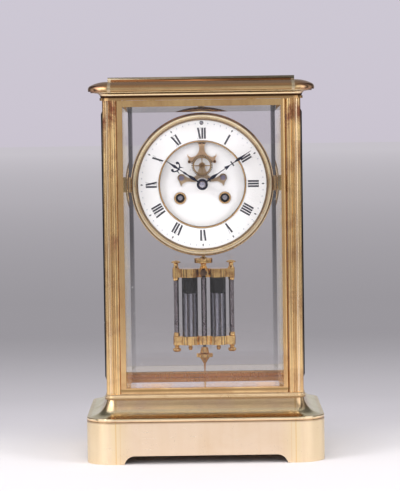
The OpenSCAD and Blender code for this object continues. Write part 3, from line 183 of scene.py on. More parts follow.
# fine rubbing marks, drawn out along a direction
rubLook = {"stops": [(0.35, 0.0), (0.7, 1.0)], "detail": 4, "roughness": 0.7}


def makeRubGroup(r):
    tree, given, put = newGroup(
        "rubMarks", "ShaderNodeTree",
        [("Vector", "Vector", None), ("Along", "Vector", (1, 1, 1)), ("Scale", "Float", 400)],
        [("Marks", "Float"), ("Height", "Float")])
    stretched = vectorMath(tree, "MULTIPLY", given["Vector"], given["Along"])
    lines = addNode(tree, "ShaderNodeTexNoise", {
        "Vector": stretched.outputs[0], "Scale": given["Scale"], "Detail": r["detail"],
        "Roughness": r["roughness"]})
    tree.links.new(ramp(tree, lines.outputs["Fac"], r["stops"]), put["Marks"])
    tree.links.new(lines.outputs["Fac"], put["Height"])
    return tree


# how bright the room is all round, from straight in front (0) to straight behind (1)
roomLevels = [
    (0.0, 0.5), (0.13, 0.5), (0.18, 0.24), (0.23, 0.9), (0.31, 0.8), (0.36, 0.14), (0.47, 0.10),
    (0.52, 0.62), (0.62, 0.5), (0.68, 0.14), (0.84, 0.18), (0.92, 0.6), (1.0, 0.6),
]


def makeRoomBandsGroup(levels):
    tree, given, put = newGroup(
        "roomBands", "ShaderNodeTree", [("Vector", "Vector", None)], [("Level", "Float")])
    split = addNode(tree, "ShaderNodeSeparateXYZ", {0: given["Vector"]})
    bearing = calc(tree, "ARCTAN2", split.outputs["X"], calc(tree, "MULTIPLY", split.outputs["Y"], -1.0))
    turn = calc(tree, "DIVIDE", calc(tree, "ABSOLUTE", bearing), math.pi)
    half = ramp(tree, turn, levels)  # a ramp stops at 1, so it holds half the level
    tree.links.new(calc(tree, "MULTIPLY", half, 2.0), put["Level"])
    return tree


tarnishGroup = makeTarnishGroup(tarnishLook)
rubGroup = makeRubGroup(rubLook)
roomBands = makeRoomBandsGroup(roomLevels)


def newMaterial(name):
    material = bpy.data.materials.new(name)
    material.use_nodes = True
    tree = material.node_tree
    shader = tree.nodes["Principled BSDF"]
    where = addNode(tree, "ShaderNodeTexCoord").outputs["Object"]
    return material, tree, shader, where


# a mask by height, by width from the middle or by radius on the dial, with its stops in millimetres
def placeMask(tree, where, kind, stops):
    if kind == "radius":
        offset = vectorMath(tree, "SUBTRACT", where, dialCentre).outputs[0]
        flat = vectorMath(tree, "MULTIPLY", offset, (1, 0, 1)).outputs[0]
        value = vectorMath(tree, "LENGTH", flat).outputs["Value"]
    else:
        split = addNode(tree, "ShaderNodeSeparateXYZ", {0: where})
        value = split.outputs["Z"] if kind == "height" else calc(tree, "ABSOLUTE", split.outputs["X"])
    low, high = stops[0][0], stops[-1][0]
    spread = mapRange(tree, value, low * mm, high * mm)
    return ramp(tree, spread, [((at - low) / (high - low), strength) for at, strength in stops])


metalLook = {"roughSpan": 0.12, "rubRoughness": 0.5, "rubHeight": 0.5, "rubScale": 900}


def makeMetal(name, color, tarnish, roughness, cloud=40, streak=260, amount=0.5, specks=0.3,
              along=(1, 1, 0.04), bump=0.02, bumpDepth=0.00003, speckColor=(0.10, 0.055, 0.03),
              overlays=(), heightAmount=None):
    material, tree, shader, where = newMaterial(name)
    wear = addNode(tree, "ShaderNodeGroup", node_tree=tarnishGroup)
    wearValues = {"Cloud Size": cloud, "Streak Size": streak, "Amount": amount, "Specks": specks}
    for label, value in wearValues.items():
        wear.inputs[label].default_value = value
    if heightAmount:
        tree.links.new(placeMask(tree, where, "height", heightAmount), wear.inputs["Amount"])
    tree.links.new(where, wear.inputs["Vector"])
    rub = addNode(tree, "ShaderNodeGroup", node_tree=rubGroup)
    rub.inputs["Along"].default_value = along
    rub.inputs["Scale"].default_value = metalLook["rubScale"]
    tree.links.new(where, rub.inputs["Vector"])
    toned = mixColor(tree, wear.outputs["Mask"], (*color, 1), (*tarnish, 1))
    for kind, stops, tint in overlays:
        toned = mixColor(tree, placeMask(tree, where, kind, stops), toned, (*tint, 1))
    specked = mixColor(tree, wear.outputs["Specks"], toned, (*speckColor, 1))
    tree.links.new(specked, shader.inputs["Base Color"])
    span = metalLook["roughSpan"]
    rough = calc(tree, "ADD", calc(tree, "MULTIPLY", wear.outputs["Mask"], span), roughness)
    rubbed = calc(tree, "MULTIPLY", rub.outputs["Marks"], span * metalLook["rubRoughness"])
    tree.links.new(calc(tree, "ADD", rough, rubbed), shader.inputs["Roughness"])
    scored = calc(tree, "MULTIPLY", rub.outputs["Height"], metalLook["rubHeight"])
    height = calc(tree, "ADD", wear.outputs["Height"], scored)
    lumps = addNode(tree, "ShaderNodeBump", {"Height": height, "Strength": bump, "Distance": bumpDepth})
    tree.links.new(lumps.outputs[0], shader.inputs["Normal"])
    shader.inputs["Metallic"].default_value = 1
    return material


# each overlay: what it follows, its stops in millimetres and strength, and its colour
# painted shade for the bezel's turned grooves
grooveShadeTint = (0.2, 0.1, 0.035)
finishes = {
    "caseBrass": dict(
        color=(0.86, 0.58, 0.27), tarnish=(0.44, 0.21, 0.08), roughness=0.12, amount=0.42, specks=0.35,
        bump=0.25, bumpDepth=0.00008),
    "mouldingBrass": dict(
        color=(0.9, 0.62, 0.32), tarnish=(0.52, 0.3, 0.15), roughness=0.13, cloud=34, streak=90,
        amount=0.45, specks=0.45, along=(0.05, 0.6, 1), bump=0.3, bumpDepth=0.0001,
        overlays=[
            # painted dark reflection on the cornice's face
            ("height", [(291.6, 0.0), (292.4, 0.9), (297.8, 1.0), (298.3, 0.0)], (0.46, 0.24, 0.11)),
            # shadow under the top plate
            ("height", [(296.4, 0.0), (297.2, 0.85), (298.0, 0.85), (298.4, 0.0)], (0.32, 0.11, 0.035)),
            # painted highlight on the edge of the top plate
            ("height", [(298.3, 0.0), (298.7, 0.95), (299.8, 0.95), (300.0, 0.0)], (1.0, 0.84, 0.64)),
            # painted highlight on the bead along the foot
            ("height", [(285.6, 0.0), (286.1, 0.9), (288.6, 0.9), (288.9, 0.0)], (1.0, 0.8, 0.5)),
            # painted shade line over that bead
            ("height", [(288.8, 0.0), (289.1, 0.8), (289.6, 0.8), (289.9, 0.0)], (0.26, 0.13, 0.03)),
            # painted highlight where the front meets its corners
            ("width", [(69.6, 0.0), (70.4, 0.6), (72.0, 0.6), (72.8, 0.0)], (1.0, 0.86, 0.62)),
            # painted dark reflection on the rounded corner
            ("width", [(74.0, 0.0), (80.0, 0.6), (88.0, 0.7)], (0.5, 0.26, 0.18)),
            # painted shadow line at the joint with the upper frame
            ("height", [(284.2, 1.0), (285.7, 1.0), (286.2, 0.0)], (0.06, 0.025, 0.01))
        ]),
    "baseBrass": dict(
        color=(1.0, 0.7, 0.4), tarnish=(0.56, 0.38, 0.28), roughness=0.15, cloud=30, streak=80,
        amount=0.6, specks=0.5, along=(0.05, 0.6, 1), bump=0.35, bumpDepth=0.00012,
        overlays=[
            # painted reflection where the front meets its corners
            ("width", [(69.2, 0.0), (69.7, 0.5), (70.4, 0.5), (70.9, 0.0)], (0.72, 0.42, 0.14)),
            # painted highlight at the foot of the hollow
            ("height", [(35.6, 0.0), (35.9, 0.9), (39.5, 0.7), (42.0, 0.0)], (1.0, 0.9, 0.62)),
            # painted shade at the joint with the lower frame, under the sill
            ("height", [(47.6, 0.0), (48.4, 0.45), (49.0, 0.6)], (0.5, 0.32, 0.18)),
            # painted shade line at the joint with the plinth, under the bead
            ("height", [(32.7, 0.8), (33.3, 0.5), (33.7, 0.0), (36.2, 0.0)], (0.3, 0.16, 0.07)),
            # painted highlight on the bead
            ("height", [(33.8, 0.0), (34.4, 0.8), (35.6, 0.8), (35.9, 0.0)], (1.0, 0.84, 0.56))
        ]),
    "plinthBrass": dict(
        color=(0.92, 0.73, 0.54), tarnish=(0.84, 0.62, 0.4), roughness=0.27, cloud=22, amount=0.5,
        specks=0.5, along=(0.1, 0.1, 1), bump=0.1, bumpDepth=0.0001, speckColor=(0.3, 0.19, 0.11),
        overlays=[
            # painted warm glow towards the corners
            ("width", [(56.0, 0.0), (72.0, 0.6), (75.0, 0.3), (88.0, 0.6)], (1.0, 0.82, 0.5)),
            # painted reflection lines at the corner
            ("width", [(66.0, 0.0), (66.4, 0.45), (66.8, 0.0), (69.2, 0.0), (69.8, 0.75),
                (70.5, 0.0)], (0.86, 0.56, 0.18)),
            # painted shade along the upper edge, under the bead
            ("height", [(31.2, 0.0), (32.1, 0.55), (32.7, 0.8)], (0.4, 0.24, 0.12))
        ]),
    "postBrass": dict(
        color=(0.9, 0.62, 0.3), tarnish=(0.32, 0.13, 0.07), roughness=0.11, cloud=46, streak=380,
        specks=0.5,
        heightAmount=[(53, 0.35), (110, 0.55), (200, 0.75), (245, 0.9), (262, 1.3), (283, 1.5)],
        bump=0.35, bumpDepth=0.00012,
        overlays=[
            # painted highlight on a reed
            ("width", [(72.3, 0.0), (72.8, 0.85), (73.8, 0.85), (74.2, 0.0)], (1.0, 0.82, 0.58)),
            # painted shade in the grooves between the reeds
            ("width", [(65.8, 0.0), (66.3, 0.4), (66.8, 0.0), (70.8, 0.0), (71.1, 0.5), (71.6, 0.5),
                (71.9, 0.0)], (0.38, 0.22, 0.09))
        ]),
    "frameBrass": dict(
        color=(0.9, 0.6, 0.29), tarnish=(0.54, 0.28, 0.12), roughness=0.14, cloud=28, streak=240,
        amount=0.55, specks=0.35,
        overlays=[
            # line along the door's lower rail
            ("height", [(54.0, 0.0), (54.7, 0.5), (55.4, 0.95), (56.3, 0.9),
                (57.0, 0.0)], (0.38, 0.24, 0.1))
        ]),
    "railBrass": dict(
        color=(1.0, 0.64, 0.3), tarnish=(0.9, 0.44, 0.18), roughness=0.14, cloud=28, streak=240,
        amount=0.5, specks=0.35,
        overlays=[
            # shade under the cornice
            ("height", [(281.4, 0.0), (283.0, 0.45), (284.2, 0.85)], (0.3, 0.17, 0.08))
        ]),
    "backBrass": dict(
        color=(0.84, 0.42, 0.14), tarnish=(0.56, 0.26, 0.08), roughness=0.22, cloud=28, streak=240,
        amount=0.5, specks=0.3),
    "backSill": dict(
        color=(0.74, 0.4, 0.15), tarnish=(0.48, 0.23, 0.08), roughness=0.2, cloud=28, streak=240,
        amount=0.5, specks=0.3),
    "sillBrass": dict(
        color=(0.96, 0.73, 0.44), tarnish=(0.66, 0.42, 0.2), roughness=0.2, cloud=40, amount=0.35,
        specks=0.3,
        overlays=[
            # joints of the sill
            ("height", [(49.0, 0.95), (50.1, 0.8), (50.5, 0.0), (51.9, 0.0), (52.2, 0.8), (52.6, 0.8),
                (53.0, 0.0)], (0.38, 0.22, 0.09))
        ]),
    "bezelBrass": dict(
        color=(1.0, 0.82, 0.5), tarnish=(0.86, 0.62, 0.34), roughness=0.09, cloud=30, amount=0.3,
        specks=0.15,
        overlays=[
            # painted shade in the turned grooves
            ("radius", [(50.3, 0.85), (50.9, 0.7), (51.9, 0.6), (52.3, 0.0), (54.4, 0.0), (54.7, 0.95),
                (55.3, 0.95), (55.55, 0.0), (55.9, 0.1), (56.25, 0.9)], grooveShadeTint),
            # painted highlight on the crest
            ("radius", [(52.4, 0.0), (52.8, 0.7), (53.6, 0.7), (54.2, 0.0)], (1.0, 0.9, 0.62))
        ]),
    "dialGilt": dict(
        color=(0.9, 0.63, 0.32), tarnish=(0.7, 0.42, 0.18), roughness=0.2, cloud=120, amount=0.4,
        specks=0.1),
    "movementBrass": dict(
        color=(0.86, 0.62, 0.3), tarnish=(0.52, 0.33, 0.15), roughness=0.24, cloud=80, amount=0.4,
        specks=0.2, along=(1, 0.2, 1)),
    "bridgeBrass": dict(
        color=(0.66, 0.5, 0.32), tarnish=(0.46, 0.31, 0.18), roughness=0.34, cloud=150, amount=0.5,
        specks=0.2),
    "anchorBrass": dict(
        color=(0.84, 0.58, 0.34), tarnish=(0.5, 0.27, 0.12), roughness=0.25, cloud=190, amount=0.5,
        specks=0.15),
    "wheelBrass": dict(
        color=(0.5, 0.34, 0.16), tarnish=(0.5, 0.3, 0.12), roughness=0.25, cloud=190, amount=0.5,
        specks=0.15),
    "pendulumGilt": dict(
        color=(1.0, 0.67, 0.26), tarnish=(0.38, 0.15, 0.04), roughness=0.1, cloud=130, streak=420,
        amount=0.7, specks=0.3),
    "screwBrass": dict(
        color=(0.72, 0.5, 0.25), tarnish=(0.4, 0.24, 0.11), roughness=0.25, cloud=200, amount=0.5),
    "bluedSteel": dict(
        color=(0.03, 0.035, 0.07), tarnish=(0.012, 0.014, 0.03), roughness=0.28, cloud=150, amount=0.5,
        specks=0.1, bump=0.1),
    "arborSteel": dict(
        color=(0.56, 0.56, 0.6), tarnish=(0.33, 0.32, 0.34), roughness=0.2, cloud=160, amount=0.4,
        specks=0.2),
    "bossSteel": dict(
        color=(0.62, 0.62, 0.72), tarnish=(0.42, 0.42, 0.5), roughness=0.22, cloud=260, amount=0.4,
        specks=0.1),
    "screwSteel": dict(
        color=(0.34, 0.32, 0.42), tarnish=(0.2, 0.18, 0.26), roughness=0.3, cloud=260, amount=0.4,
        specks=0.2),
    "toothDark": dict(
        color=(0.07, 0.045, 0.03), tarnish=(0.04, 0.025, 0.015), roughness=0.32, cloud=260, amount=0.5,
        specks=0.1),
    "palletDark": dict(
        color=(0.16, 0.09, 0.05), tarnish=(0.07, 0.04, 0.02), roughness=0.3, cloud=260, amount=0.5,
        specks=0.2),
    "bellMetal": dict(
        color=(0.66, 0.63, 0.58), tarnish=(0.42, 0.37, 0.3), roughness=0.22, cloud=50, amount=0.5,
        specks=0.3),
    "springSteel": dict(
        color=(0.22, 0.23, 0.27), tarnish=(0.12, 0.12, 0.14), roughness=0.35, cloud=90, amount=0.5),
    "rodSteel": dict(
        color=(0.3, 0.27, 0.29), tarnish=(0.1, 0.08, 0.09), roughness=0.2, cloud=110, streak=600,
        amount=0.9, specks=0.3),
    "quicksilver": dict(
        color=(0.48, 0.48, 0.53), tarnish=(0.2, 0.19, 0.22), roughness=0.14, cloud=20, streak=700,
        amount=0.5, specks=0.5,
        overlays=[
            # painted dark reflections down each column
            ("width", [(5.1, 0.9), (5.9, 0.9), (6.5, 0.1), (7.6, 0.1), (8.3, 0.8), (9.2, 0.8),
                (9.9, 0.1), (11.2, 0.15), (11.9, 0.85), (13.0, 0.85), (13.7, 0.1), (15.2, 0.1),
                (15.9, 0.85), (17.0, 0.8), (17.7, 0.9)], (0.05, 0.045, 0.055))
        ]),
}
made = {name: makeMetal(name, **values) for name, values in finishes.items()}

enamelLook = {
    "white": (0.95, 0.945, 0.955), "aged": (0.93, 0.922, 0.918), "agedStops": [(0.4, 0.0), (0.75, 1.0)],
    "cloudScale": 60, "rippleScale": 150, "bump": 0.12, "bumpDepth": 0.0002,
    "roughness": 0.12, "coat": 0.5, "coatRoughness": 0.05,
}


def makeEnamel(e):
    material, tree, shader, where = newMaterial("enamel")
    clouds = addNode(tree, "ShaderNodeTexNoise", {"Vector": where, "Scale": e["cloudScale"], "Detail": 3})
    aged = ramp(tree, clouds.outputs["Fac"], e["agedStops"])
    tint = mixColor(tree, aged, (*e["white"], 1), (*e["aged"], 1))
    tree.links.new(tint, shader.inputs["Base Color"])
    ripple = addNode(tree, "ShaderNodeTexNoise", {"Vector": where, "Scale": e["rippleScale"], "Detail": 1})
    bump = addNode(tree, "ShaderNodeBump", {
        "Height": ripple.outputs["Fac"], "Strength": e["bump"], "Distance": e["bumpDepth"]})
    tree.links.new(bump.outputs[0], shader.inputs["Normal"])
    shader.inputs["Roughness"].default_value = e["roughness"]
    shader.inputs["Coat Weight"].default_value = e["coat"]
    shader.inputs["Coat Roughness"].default_value = e["coatRoughness"]
    return material


paints = {
    "numeralBlack": dict(color=(0.012, 0.012, 0.022), roughness=0.3),
    "minuteGrey": dict(color=(0.12, 0.16, 0.24), roughness=0.35),
    "plugBlack": dict(color=(0.003, 0.003, 0.004), roughness=0.5, sheen=0.1),
    # painted shade: black for the shade in the winding holes and the anchor's slot
    "holeDark": dict(color=(0.012, 0.009, 0.006), roughness=0.6),
}
paintGrain = {"scale": 900, "gain": 1.5, "lift": 0.01}


def makePaint(name, color, roughness, sheen=0.5):
    material, tree, shader, where = newMaterial(name)
    grain = addNode(tree, "ShaderNodeTexNoise", {"Vector": where, "Scale": paintGrain["scale"], "Detail": 2})
    paler = [min(1, part * paintGrain["gain"] + paintGrain["lift"]) for part in color]
    tint = mixColor(tree, grain.outputs["Fac"], (*color, 1), (*paler, 1))
    tree.links.new(tint, shader.inputs["Base Color"])
    shader.inputs["Roughness"].default_value = roughness
    shader.inputs["Specular IOR Level"].default_value = sheen
    return material


# edges darken the back glass's bevels as painted shade; patches of painted light lie on the door glass's
# bevels
glasses = {
    "plateGlass": dict(color=(0.95, 0.955, 0.95), smear=0.02, dust=0.3),
    "doorGlass": dict(
        color=(0.99, 0.985, 0.985), smear=0.015, dust=0.35,
        # patches of painted light on the bevels, down the sides and along the bottom
        bevelLight=[
            ("width", [(56.6, 0.0), (58.5, 0.08), (60.2, 0.16), (61.6, 0.34)], (0.62, 0.50, 0.28)),
            ("height", [(57.0, 0.4), (61.0, 0.35), (62.0, 0.0)], (0.72, 0.46, 0.26)),
        ]),
    "backGlass": dict(
        # the grey tint dims the view through the back of the case, painted shade
        color=(0.80, 0.79, 0.785), smear=0.02, dust=0.2,
        # painted shade in the bevels: greyer along the bottom, dark down the sides and fading downwards
        edges=[
            ("height", [(57.0, 1.0), (62.4, 1.0), (62.9, 0.0)], (0.77, 0.74, 0.64)),
            ("width", [(56.5, 0.0), (57.6, 1.0), (60.6, 1.0), (61.5, 0.3)], (0.10, 0.10, 0.105)),
        ]),
    "jarGlass": dict(color=(0.94, 0.94, 0.96), smear=0.03, ior=1.32),
}
glassLook = {
    "smearScale": 35, "smearStops": [(0.5, 0.0), (0.8, 1.0)], "bevelLightStops": [(0.42, 0.25), (0.6, 1.0)],
    "spotScale": 110, "spotStops": [(0.02, 1.0), (0.11, 0.0)], "driftScale": 26, "driftSpan": (0.5, 0.62),
    "dustColor": (0.85, 0.85, 0.86), "shadowColor": (0.96, 0.96, 0.96),
    "sideRise": [(55, 0.1), (110, 0.45), (170, 0.9), (282, 1.0)],  # painted shade in the side bevels, fading downwards
}


def makeGlass(name, color, smear, ior=1.5, edges=(), bevelLight=(), dust=0.0):
    look = glassLook
    material, tree, shader, where = newMaterial(name)
    toned = (*color, 1)
    # painted shade in the bevels
    for kind, stops, bevelShadeColor in edges:
        mask = placeMask(tree, where, kind, stops)
        if kind == "width":
            mask = calc(tree, "MULTIPLY", mask, placeMask(tree, where, "height", look["sideRise"]))
        toned = mixColor(tree, mask, toned, (*bevelShadeColor, 1))
    if edges:
        tree.links.new(toned, shader.inputs["Base Color"])
    else:
        shader.inputs["Base Color"].default_value = toned
    shader.inputs["Transmission Weight"].default_value = 1
    shader.inputs["IOR"].default_value = ior
    clouds = addNode(tree, "ShaderNodeTexNoise", {
        "Vector": where, "Scale": look["smearScale"], "Detail": 5, "Roughness": 0.65})
    smears = ramp(tree, clouds.outputs["Fac"], look["smearStops"])
    tree.links.new(calc(tree, "MULTIPLY", smears, smear), shader.inputs["Roughness"])
    spots = addNode(tree, "ShaderNodeTexVoronoi", {
        "Vector": where, "Scale": look["spotScale"], "Randomness": 1})
    drift = addNode(tree, "ShaderNodeTexNoise", {"Vector": where, "Scale": look["driftScale"], "Detail": 2})
    bare, dusty = look["driftSpan"]
    dusted = ramp(tree, drift.outputs["Fac"], [(bare, 0.0), (dusty, dust)])
    spotMask = calc(tree, "MULTIPLY", ramp(tree, spots.outputs["Distance"], look["spotStops"]), dusted)
    dustFilm = addNode(tree, "ShaderNodeBsdfDiffuse", {"Color": (*look["dustColor"], 1)})
    surface = addNode(tree, "ShaderNodeMixShader", {
        0: spotMask, 1: shader.outputs[0], 2: dustFilm.outputs[0]}).outputs[0]
    # patches of painted light on the bevels
    for kind, stops, tone in bevelLight:
        patches = ramp(tree, clouds.outputs["Fac"], look["bevelLightStops"])
        bevelGlow = addNode(tree, "ShaderNodeBsdfDiffuse", {"Color": (*tone, 1)})
        amount = calc(tree, "MULTIPLY", placeMask(tree, where, kind, stops), patches)
        surface = addNode(tree, "ShaderNodeMixShader", {0: amount, 1: surface, 2: bevelGlow.outputs[0]}).outputs[0]
    # light passes for shadows and soft bounces, so the clock isn't dark inside
    clear = addNode(tree, "ShaderNodeBsdfTransparent", {"Color": (*look["shadowColor"], 1)})
    path = addNode(tree, "ShaderNodeLightPath")
    passing = calc(tree, "MAXIMUM", path.outputs["Is Shadow Ray"], path.outputs["Is Diffuse Ray"])
    join = addNode(tree, "ShaderNodeMixShader", {0: passing, 1: surface, 2: clear.outputs[0]})
    tree.links.new(join.outputs[0], tree.nodes["Material Output"].inputs["Surface"])
    return material


made["enamel"] = makeEnamel(enamelLook)
made.update({name: makePaint(name, **values) for name, values in paints.items()})
made.update({name: makeGlass(name, **values) for name, values in glasses.items()})
print("materials made:", len(made))

finishOfSlot = {
    "case_brass": "caseBrass", "case_screws": "screwBrass", "bevelled_glass": "plateGlass",
    "enamel": "enamel", "blued_steel": "bluedSteel", "movement_brass": "movementBrass",
    "polished_steel": "arborSteel", "bell_metal": "bellMetal", "pendulum_gilt": "pendulumGilt",
    "jar_glass": "jarGlass", "mercury": "quicksilver", "spring_steel": "springSteel",
}
finishOfNode = {
    "base_plinth": "plinthBrass", "base_moulding": "baseBrass", "cornice": "mouldingBrass",
    "top_plate": "mouldingBrass", "base_floor": "sillBrass", "lower_frame": "sillBrass",
    "escape_wheel": "wheelBrass", "front_door_glass": "doorGlass", "back_door_glass": "backGlass",
    "corner_posts": "postBrass", "front_door_frame": "frameBrass", "back_door_frame": "backBrass",
    "side_frames": "frameBrass", "upper_frame": "railBrass", "bezel": "bezelBrass",
    "dial_pan": "bezelBrass", "dial_trim": "dialGilt", "escape_bridge": "bridgeBrass",
    "anchor": "anchorBrass",
}


def finishFor(nodeName):
    return made[finishOfNode.get(nodeName) or finishOfSlot[slotOfNode[nodeName]]]


for nodeName, thing in frame["nodes"].items():
    for materialSlot in thing.material_slots:
        materialSlot.link = "OBJECT"
        materialSlot.material = finishFor(nodeName)
print("CAD nodes finished")


# a finished piece rides with a node and may stand for it
def settle(thing, nodeName, stands=()):
    body, slotName = bodyOfNode[nodeName], slotOfNode[nodeName]
    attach(thing, body)
    if stands:
        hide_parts(*stands)
    return thing


# angles in degrees, gaps in metres
smoothing = {"copyAngle": 30, "turnedAngle": 35, "weight": 80, "copyGap": 2e-7, "turnedGap": 1e-8}


def evenNormals(thing, angle):
    for polygon in thing.data.polygons:
        polygon.use_smooth = True
    thing.data.set_sharp_from_angle(angle=math.radians(angle))
    modifier = thing.modifiers.new("even", "WEIGHTED_NORMAL")
    modifier.keep_sharp = True
    modifier.weight = smoothing["weight"]
    mesh = bpy.data.meshes.new_from_object(thing.evaluated_get(bpy.context.evaluated_depsgraph_get()))
    thing.modifiers.clear()
    old = thing.data
    thing.data = mesh
    bpy.data.meshes.remove(old)


def smoothCopy(nodeName):
    mesh = frame["nodes"][nodeName].data.copy()
    bm = bmesh.new()
    bm.from_mesh(mesh)
    bmesh.ops.remove_doubles(bm, verts=bm.verts, dist=smoothing["copyGap"])
    bm.to_mesh(mesh)
    bm.free()
    mesh.materials.clear()
    mesh.materials.append(finishFor(nodeName))
    thing = bpy.data.objects.new(nodeName + "Smooth", mesh)
    sceneItems.link(thing)
    evenNormals(thing, smoothing["copyAngle"])
    return settle(thing, nodeName, [nodeName])


smoothNodes = [
    "base_plinth", "base_floor", "base_moulding", "corner_posts", "cornice", "bezel", "dial_pan",
    "dial_trim", "bell", "bell_stand", "glass_jars", "jar_plate_top", "jar_plate_bottom", "jar_rods",
    "pendulum_rod", "rating_nut", "going_barrel", "strike_barrel", "lower_frame", "upper_frame",
    "front_plate", "back_plate", "minute_hand", "hour_hand", "cannon_pinion", "case_fixings",
    "dial_ring", "dial_centre", "escape_wheel", "anchor", "escape_bridge",
]
copies = {nodeName: smoothCopy(nodeName) for nodeName in smoothNodes}
print("smooth copies made")


# copies of one item on a ring, with every "Leave Out"-th place empty
def makeRingTree():
    tree, given, put = newGroup(
        "ringOfCopies", "GeometryNodeTree",
        [("Item", "Object", None), ("Count", "Int", 12), ("Radius", "Float", 0.01), ("Start", "Float", 0.0),
         ("Leave Out", "Int", 0), ("Scale", "Float", 1.0), ("Finish", "Material", None)],
        [("Geometry", "Geometry")])
    circle = addNode(tree, "GeometryNodeMeshCircle", {"Vertices": given["Count"], "Radius": given["Radius"]})
    item = addNode(tree, "GeometryNodeObjectInfo", {"Object": given["Item"]})
    index = addNode(tree, "GeometryNodeInputIndex").outputs[0]
    step = calc(tree, "DIVIDE", 2 * math.pi, given["Count"])
    turn = addNode(tree, "ShaderNodeCombineXYZ", {"Z": calc(tree, "MULTIPLY", index, step)})
    every = calc(tree, "MAXIMUM", given["Leave Out"], 1.0)
    kept = calc(tree, "GREATER_THAN", calc(tree, "MODULO", index, every), 0.5)
    none = calc(tree, "LESS_THAN", given["Leave Out"], 0.5)
    chosen = calc(tree, "GREATER_THAN", calc(tree, "ADD", kept, none), 0.5)
    placed = addNode(tree, "GeometryNodeInstanceOnPoints", {
        "Points": circle.outputs[0], "Selection": chosen, "Instance": item.outputs["Geometry"],
        "Rotation": turn.outputs[0], "Scale": given["Scale"]})
    whole = addNode(tree, "GeometryNodeRealizeInstances", {0: placed.outputs[0]})
    swing = addNode(tree, "ShaderNodeCombineXYZ", {"Z": given["Start"]})
    turned = addNode(tree, "GeometryNodeTransform", {
        "Geometry": whole.outputs[0], "Rotation": swing.outputs[0]})
    painted = addNode(tree, "GeometryNodeSetMaterial", {
        "Geometry": turned.outputs[0], "Material": given["Finish"]})
    tree.links.new(painted.outputs[0], put["Geometry"])
    return tree


ringTree = makeRingTree()
print("node tree made")


def ringOf(name, item, ring, finish, place):
    base = bpy.data.objects.new(name + "Base", bpy.data.meshes.new(name + "Base"))
    sceneItems.link(base)
    modifier = base.modifiers.new("grow", "NODES")
    modifier.node_group = ringTree
    sockets = ringTree.interface.items_tree
    keys = {socket.name: socket.identifier for socket in sockets if socket.in_out == "INPUT"}
    values = {
        "Item": item, "Count": ring["count"], "Radius": ring["radius"] * mm, "Start": ring.get("start", 0.0),
        "Leave Out": ring.get("leaveOut", 0), "Scale": ring.get("scale", 1.0), "Finish": made[finish],
    }
    for label, value in values.items():
        modifier[keys[label]] = value
    mesh = bpy.data.meshes.new_from_object(base.evaluated_get(bpy.context.evaluated_depsgraph_get()))
    mesh.name = name
    mesh.transform(place)
    thing = bpy.data.objects.new(name, mesh)
    sceneItems.link(thing)
    bpy.data.objects.remove(base)
    bpy.data.objects.remove(item)
    return thing


def meshPiece(name, bm, finish, place):
    bmesh.ops.recalc_face_normals(bm, faces=bm.faces)
    mesh = bpy.data.meshes.new(name)
    bm.to_mesh(mesh)
    bm.free()
    if place:
        mesh.transform(place)
    mesh.materials.append(made[finish])
    thing = bpy.data.objects.new(name, mesh)
    sceneItems.link(thing)
    return thing


# flat outlines with a thickness
def slabs(name, outlines, low, high, finish, place=onDial):
    bm = bmesh.new()
    for outline in outlines:
        feet = [bm.verts.new((x * mm, y * mm, low * mm)) for x, y in outline]
        tops = [bm.verts.new((x * mm, y * mm, high * mm)) for x, y in outline]
        bm.faces.new(tops)
        bm.faces.new(list(reversed(feet)))
        for i in range(len(outline)):
            j = (i + 1) % len(outline)
            bm.faces.new((feet[i], feet[j], tops[j], tops[i]))
    return meshPiece(name, bm, finish, place)


# a closed section of (radius, height) turned round an axis
def lathe(name, section, finish, at, steps, place=onDial):
    bm = bmesh.new()
    rings = []
    for k in range(steps):
        c, s = math.cos(2 * math.pi * k / steps), math.sin(2 * math.pi * k / steps)
        rings.append([bm.verts.new(((at[0] + r * c) * mm, (at[1] + r * s) * mm, z * mm)) for r, z in section])
    for k in range(steps):
        here, there = rings[k], rings[(k + 1) % steps]
        for i in range(len(section)):
            j = (i + 1) % len(section)
            bm.faces.new((here[i], there[i], there[j], here[j]))
    bmesh.ops.remove_doubles(bm, verts=bm.verts, dist=smoothing["turnedGap"])
    thing = meshPiece(name, bm, finish, place)
    evenNormals(thing, smoothing["turnedAngle"])
    return thing


# dial markings; a stroke is (shift at its head, shift at its foot, weight), a serif (shift, width, end)
dialMarks = {
    "foot": 35.8, "head": 44.4, "thick": 1.42, "hair": 0.2, "serif": 0.16, "wide": 0.86, "fine": 0.5,
    "level": 13.6, "sunk": 0.05, "rise": 0.06,
    "hours": ["XII", "I", "II", "III", "IIII", "V", "VI", "VII", "VIII", "IX", "X", "XI"],
    "letters": {
        "I": {"advance": 2.02, "strokes": [(0, 0, "thick")],
              "serifs": [(0, "wide", "head"), (0, "wide", "foot")]},
        "V": {"advance": 3.1, "strokes": [(-0.95, 0.1, "thick"), (1.25, 0.25, "hair")],
              "serifs": [(-0.95, "wide", "head"), (1.2, "fine", "head")]},
        "X": {"advance": 3.1, "strokes": [(-0.9, 0.9, "thick"), (1.05, -1.05, "hair")],
              "serifs": [(-0.9, "wide", "head"), (1.1, "fine", "head"),
                         (0.9, "wide", "foot"), (-1.1, "fine", "foot")]},
    },
    "dotRadius": 0.4, "dotSides": 10,
    "dotRing": {"count": 60, "radius": 47.9, "start": math.pi / 2, "leaveOut": 5},
    "diamond": [(1.0, 0), (0.1, 0.55), (-0.9, 0), (0.1, -0.55)],
    "diamondRing": {"count": 12, "radius": 47.6, "start": math.pi / 2, "leaveOut": 12, "scale": 1.25},
    "regulator": [(1.0, 13.55), (1.0, 13.68), (1.55, 13.68), (1.55, 13.55)],
    "regulatorAt": (0, 48.2), "regulatorSteps": 32,
}


def leanStroke(xTop, xFoot, width, d):
    half, foot, head = width / 2, d["foot"], d["head"]
    return [(xFoot - half, foot), (xFoot + half, foot), (xTop + half, head), (xTop - half, head)]


